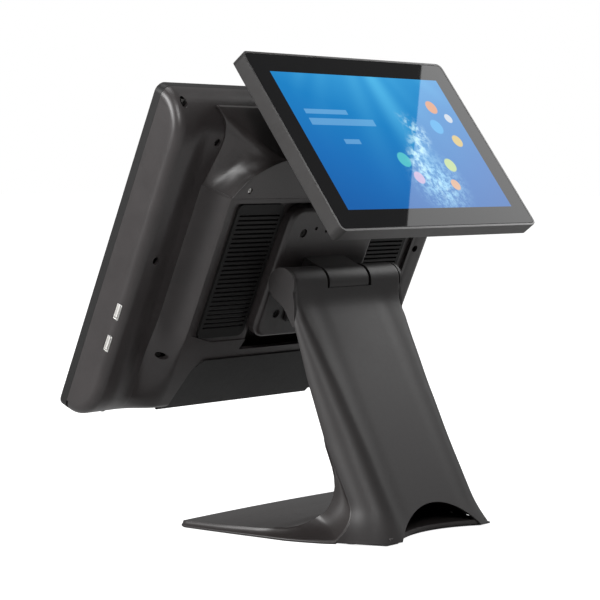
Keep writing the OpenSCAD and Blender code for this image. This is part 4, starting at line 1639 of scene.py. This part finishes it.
@dataclass
class Studio:
    """Floor, light and camera. Places are in metres from the display's centre line."""

    eye: Vector = field(default_factory=lambda: Vector((1.2764, 1.0719, 0.2944)))
    look: Vector = field(default_factory=lambda: Vector((-0.752, -0.656, -0.064)))
    lens: float = 118.5
    floor_size: float = 40.0
    sky_light: float = 0.36

    def build(self) -> None:
        """Set up the whole studio."""
        self.camera()
        self.floor()
        self.sky()
        self.lamps()
        bpy.context.scene.view_settings.view_transform = "Standard"

    def camera(self) -> None:
        """Place the camera."""
        data = bpy.data.cameras.new("camera")
        data.lens = self.lens
        data.sensor_width = 36.0
        data.clip_end = 100.0
        made = bpy.data.objects.new("camera", data)
        bpy.context.scene.collection.objects.link(made)
        made.location = self.eye + Vector((0, hinge_point().y, 0))
        made.rotation_euler = self.look.to_track_quat("-Z", "Y").to_euler()
        bpy.context.scene.camera = made

    @staticmethod
    def _paper() -> bpy.types.Material:
        """Return a matt white that the camera sees lighter, so that the floor has no horizon.

        Returns:
            The material.
        """
        sketch = Sketch("floor_white")
        white = (0.5, 0.5, 0.5)
        path = sketch.raw("ShaderNodeLightPath")
        seen = Wire(sketch, path.outputs["Is Camera Ray"])
        tint = sketch.blend(sketch.noise(0.7, 2.0), rgba(white, 0.985), rgba(white))
        sketch.set(Base_Color=tint, Roughness=0.9, Specular_IOR_Level=0.1)
        glow = sketch.blend(seen, BLACK, rgba((0.9, 0.9, 0.9)))
        sketch.set(Emission_Color=glow, Emission_Strength=1.0)
        return sketch.material

    def floor(self) -> None:
        """Lay the pale floor."""
        mesh = bmesh.new()
        bmesh.ops.create_grid(mesh, x_segments=4, y_segments=4, size=self.floor_size / 2)
        made = solid_object("floor", mesh)
        dress(made, self._paper())

    def sky(self) -> None:
        """Surround the stage with even white."""
        world = bpy.data.worlds.new("studio")
        bpy.context.scene.world = world
        world.use_nodes = True
        tree = world.node_tree
        back = tree.nodes["Background"]
        path = tree.nodes.new("ShaderNodeLightPath")
        pick = tree.nodes.new("ShaderNodeMix")
        pick.data_type = "FLOAT"
        pick.inputs[2].default_value = self.sky_light
        pick.inputs[3].default_value = 1.0
        tree.links.new(path.outputs["Is Camera Ray"], pick.inputs[0])
        tree.links.new(pick.outputs[0], back.inputs["Strength"])
        back.inputs["Color"].default_value = (1, 1, 1, 1)

    @staticmethod
    def _area(name: str, place: Vector, turn: Any, size: tuple[float, float], power: float) -> None:
        """Add a soft lamp with a straight outline.

        Args:
            name: its name.
            place: where it stands, in metres.
            turn: its turn, as Euler angles.
            size: its width and height, in metres.
            power: its power, in watts.
        """
        data = bpy.data.lights.new(name, "AREA")
        data.shape = "SQUARE" if size[0] == size[1] else "RECTANGLE"
        data.size, data.size_y = size
        data.energy = power
        made = bpy.data.objects.new(name, data)
        bpy.context.scene.collection.objects.link(made)
        made.location = place
        made.rotation_euler = turn

    def lamp(self, name: str, place: Point, aim: Point, size: float, power: float) -> None:
        """Add a square soft lamp that points at a place.

        Args:
            name: its name.
            place: where it stands, in metres.
            aim: what it points at.
            size: its edge, in metres.
            power: its power, in watts.
        """
        turn = (Vector(aim) - Vector(place)).to_track_quat("-Z", "Y").to_euler()
        self._area(name, Vector(place), turn, (size, size), power)

    def window(self) -> None:
        """Stand the tall lamp whose edge shows in the customer's screen."""
        rows = ((-0.6116, -0.0426, -0.79), (-0.1411, -0.9767, 0.1619), (-0.7785, 0.2105, 0.5913))
        place = Vector((-1.2964, 0.2533 + hinge_point().y, 0.93))
        self._area("window", place, Matrix(rows).to_euler(), (0.55, 0.9), 7.5)

    def lamps(self) -> None:
        """Hang the soft lamps."""
        self.lamp("key", (2.3, -0.7, 1.1), (0, 0, 0.25), 1.0, 66.0)
        self.lamp("top", (0.3, -0.2, 2.5), (0, 0, 0.1), 1.2, 17.0)
        self.lamp("high", (1.5, 1.6, 1.35), (0, 0, 0.35), 0.6, 24.0)
        self.window()


def main() -> None:
    """Build the terminal's looks and the studio round it."""
    logging.basicConfig(level=logging.INFO, format="%(message)s")
    palette = Palette()
    Studio().build()
    for part in (Stand(palette), Head(palette), CustomerDisplay(palette)):
        for piece in part.build():
            LOG.info("%s: %d faces", piece.name, len(piece.data.polygons))


if __name__ == "__main__":
    main()
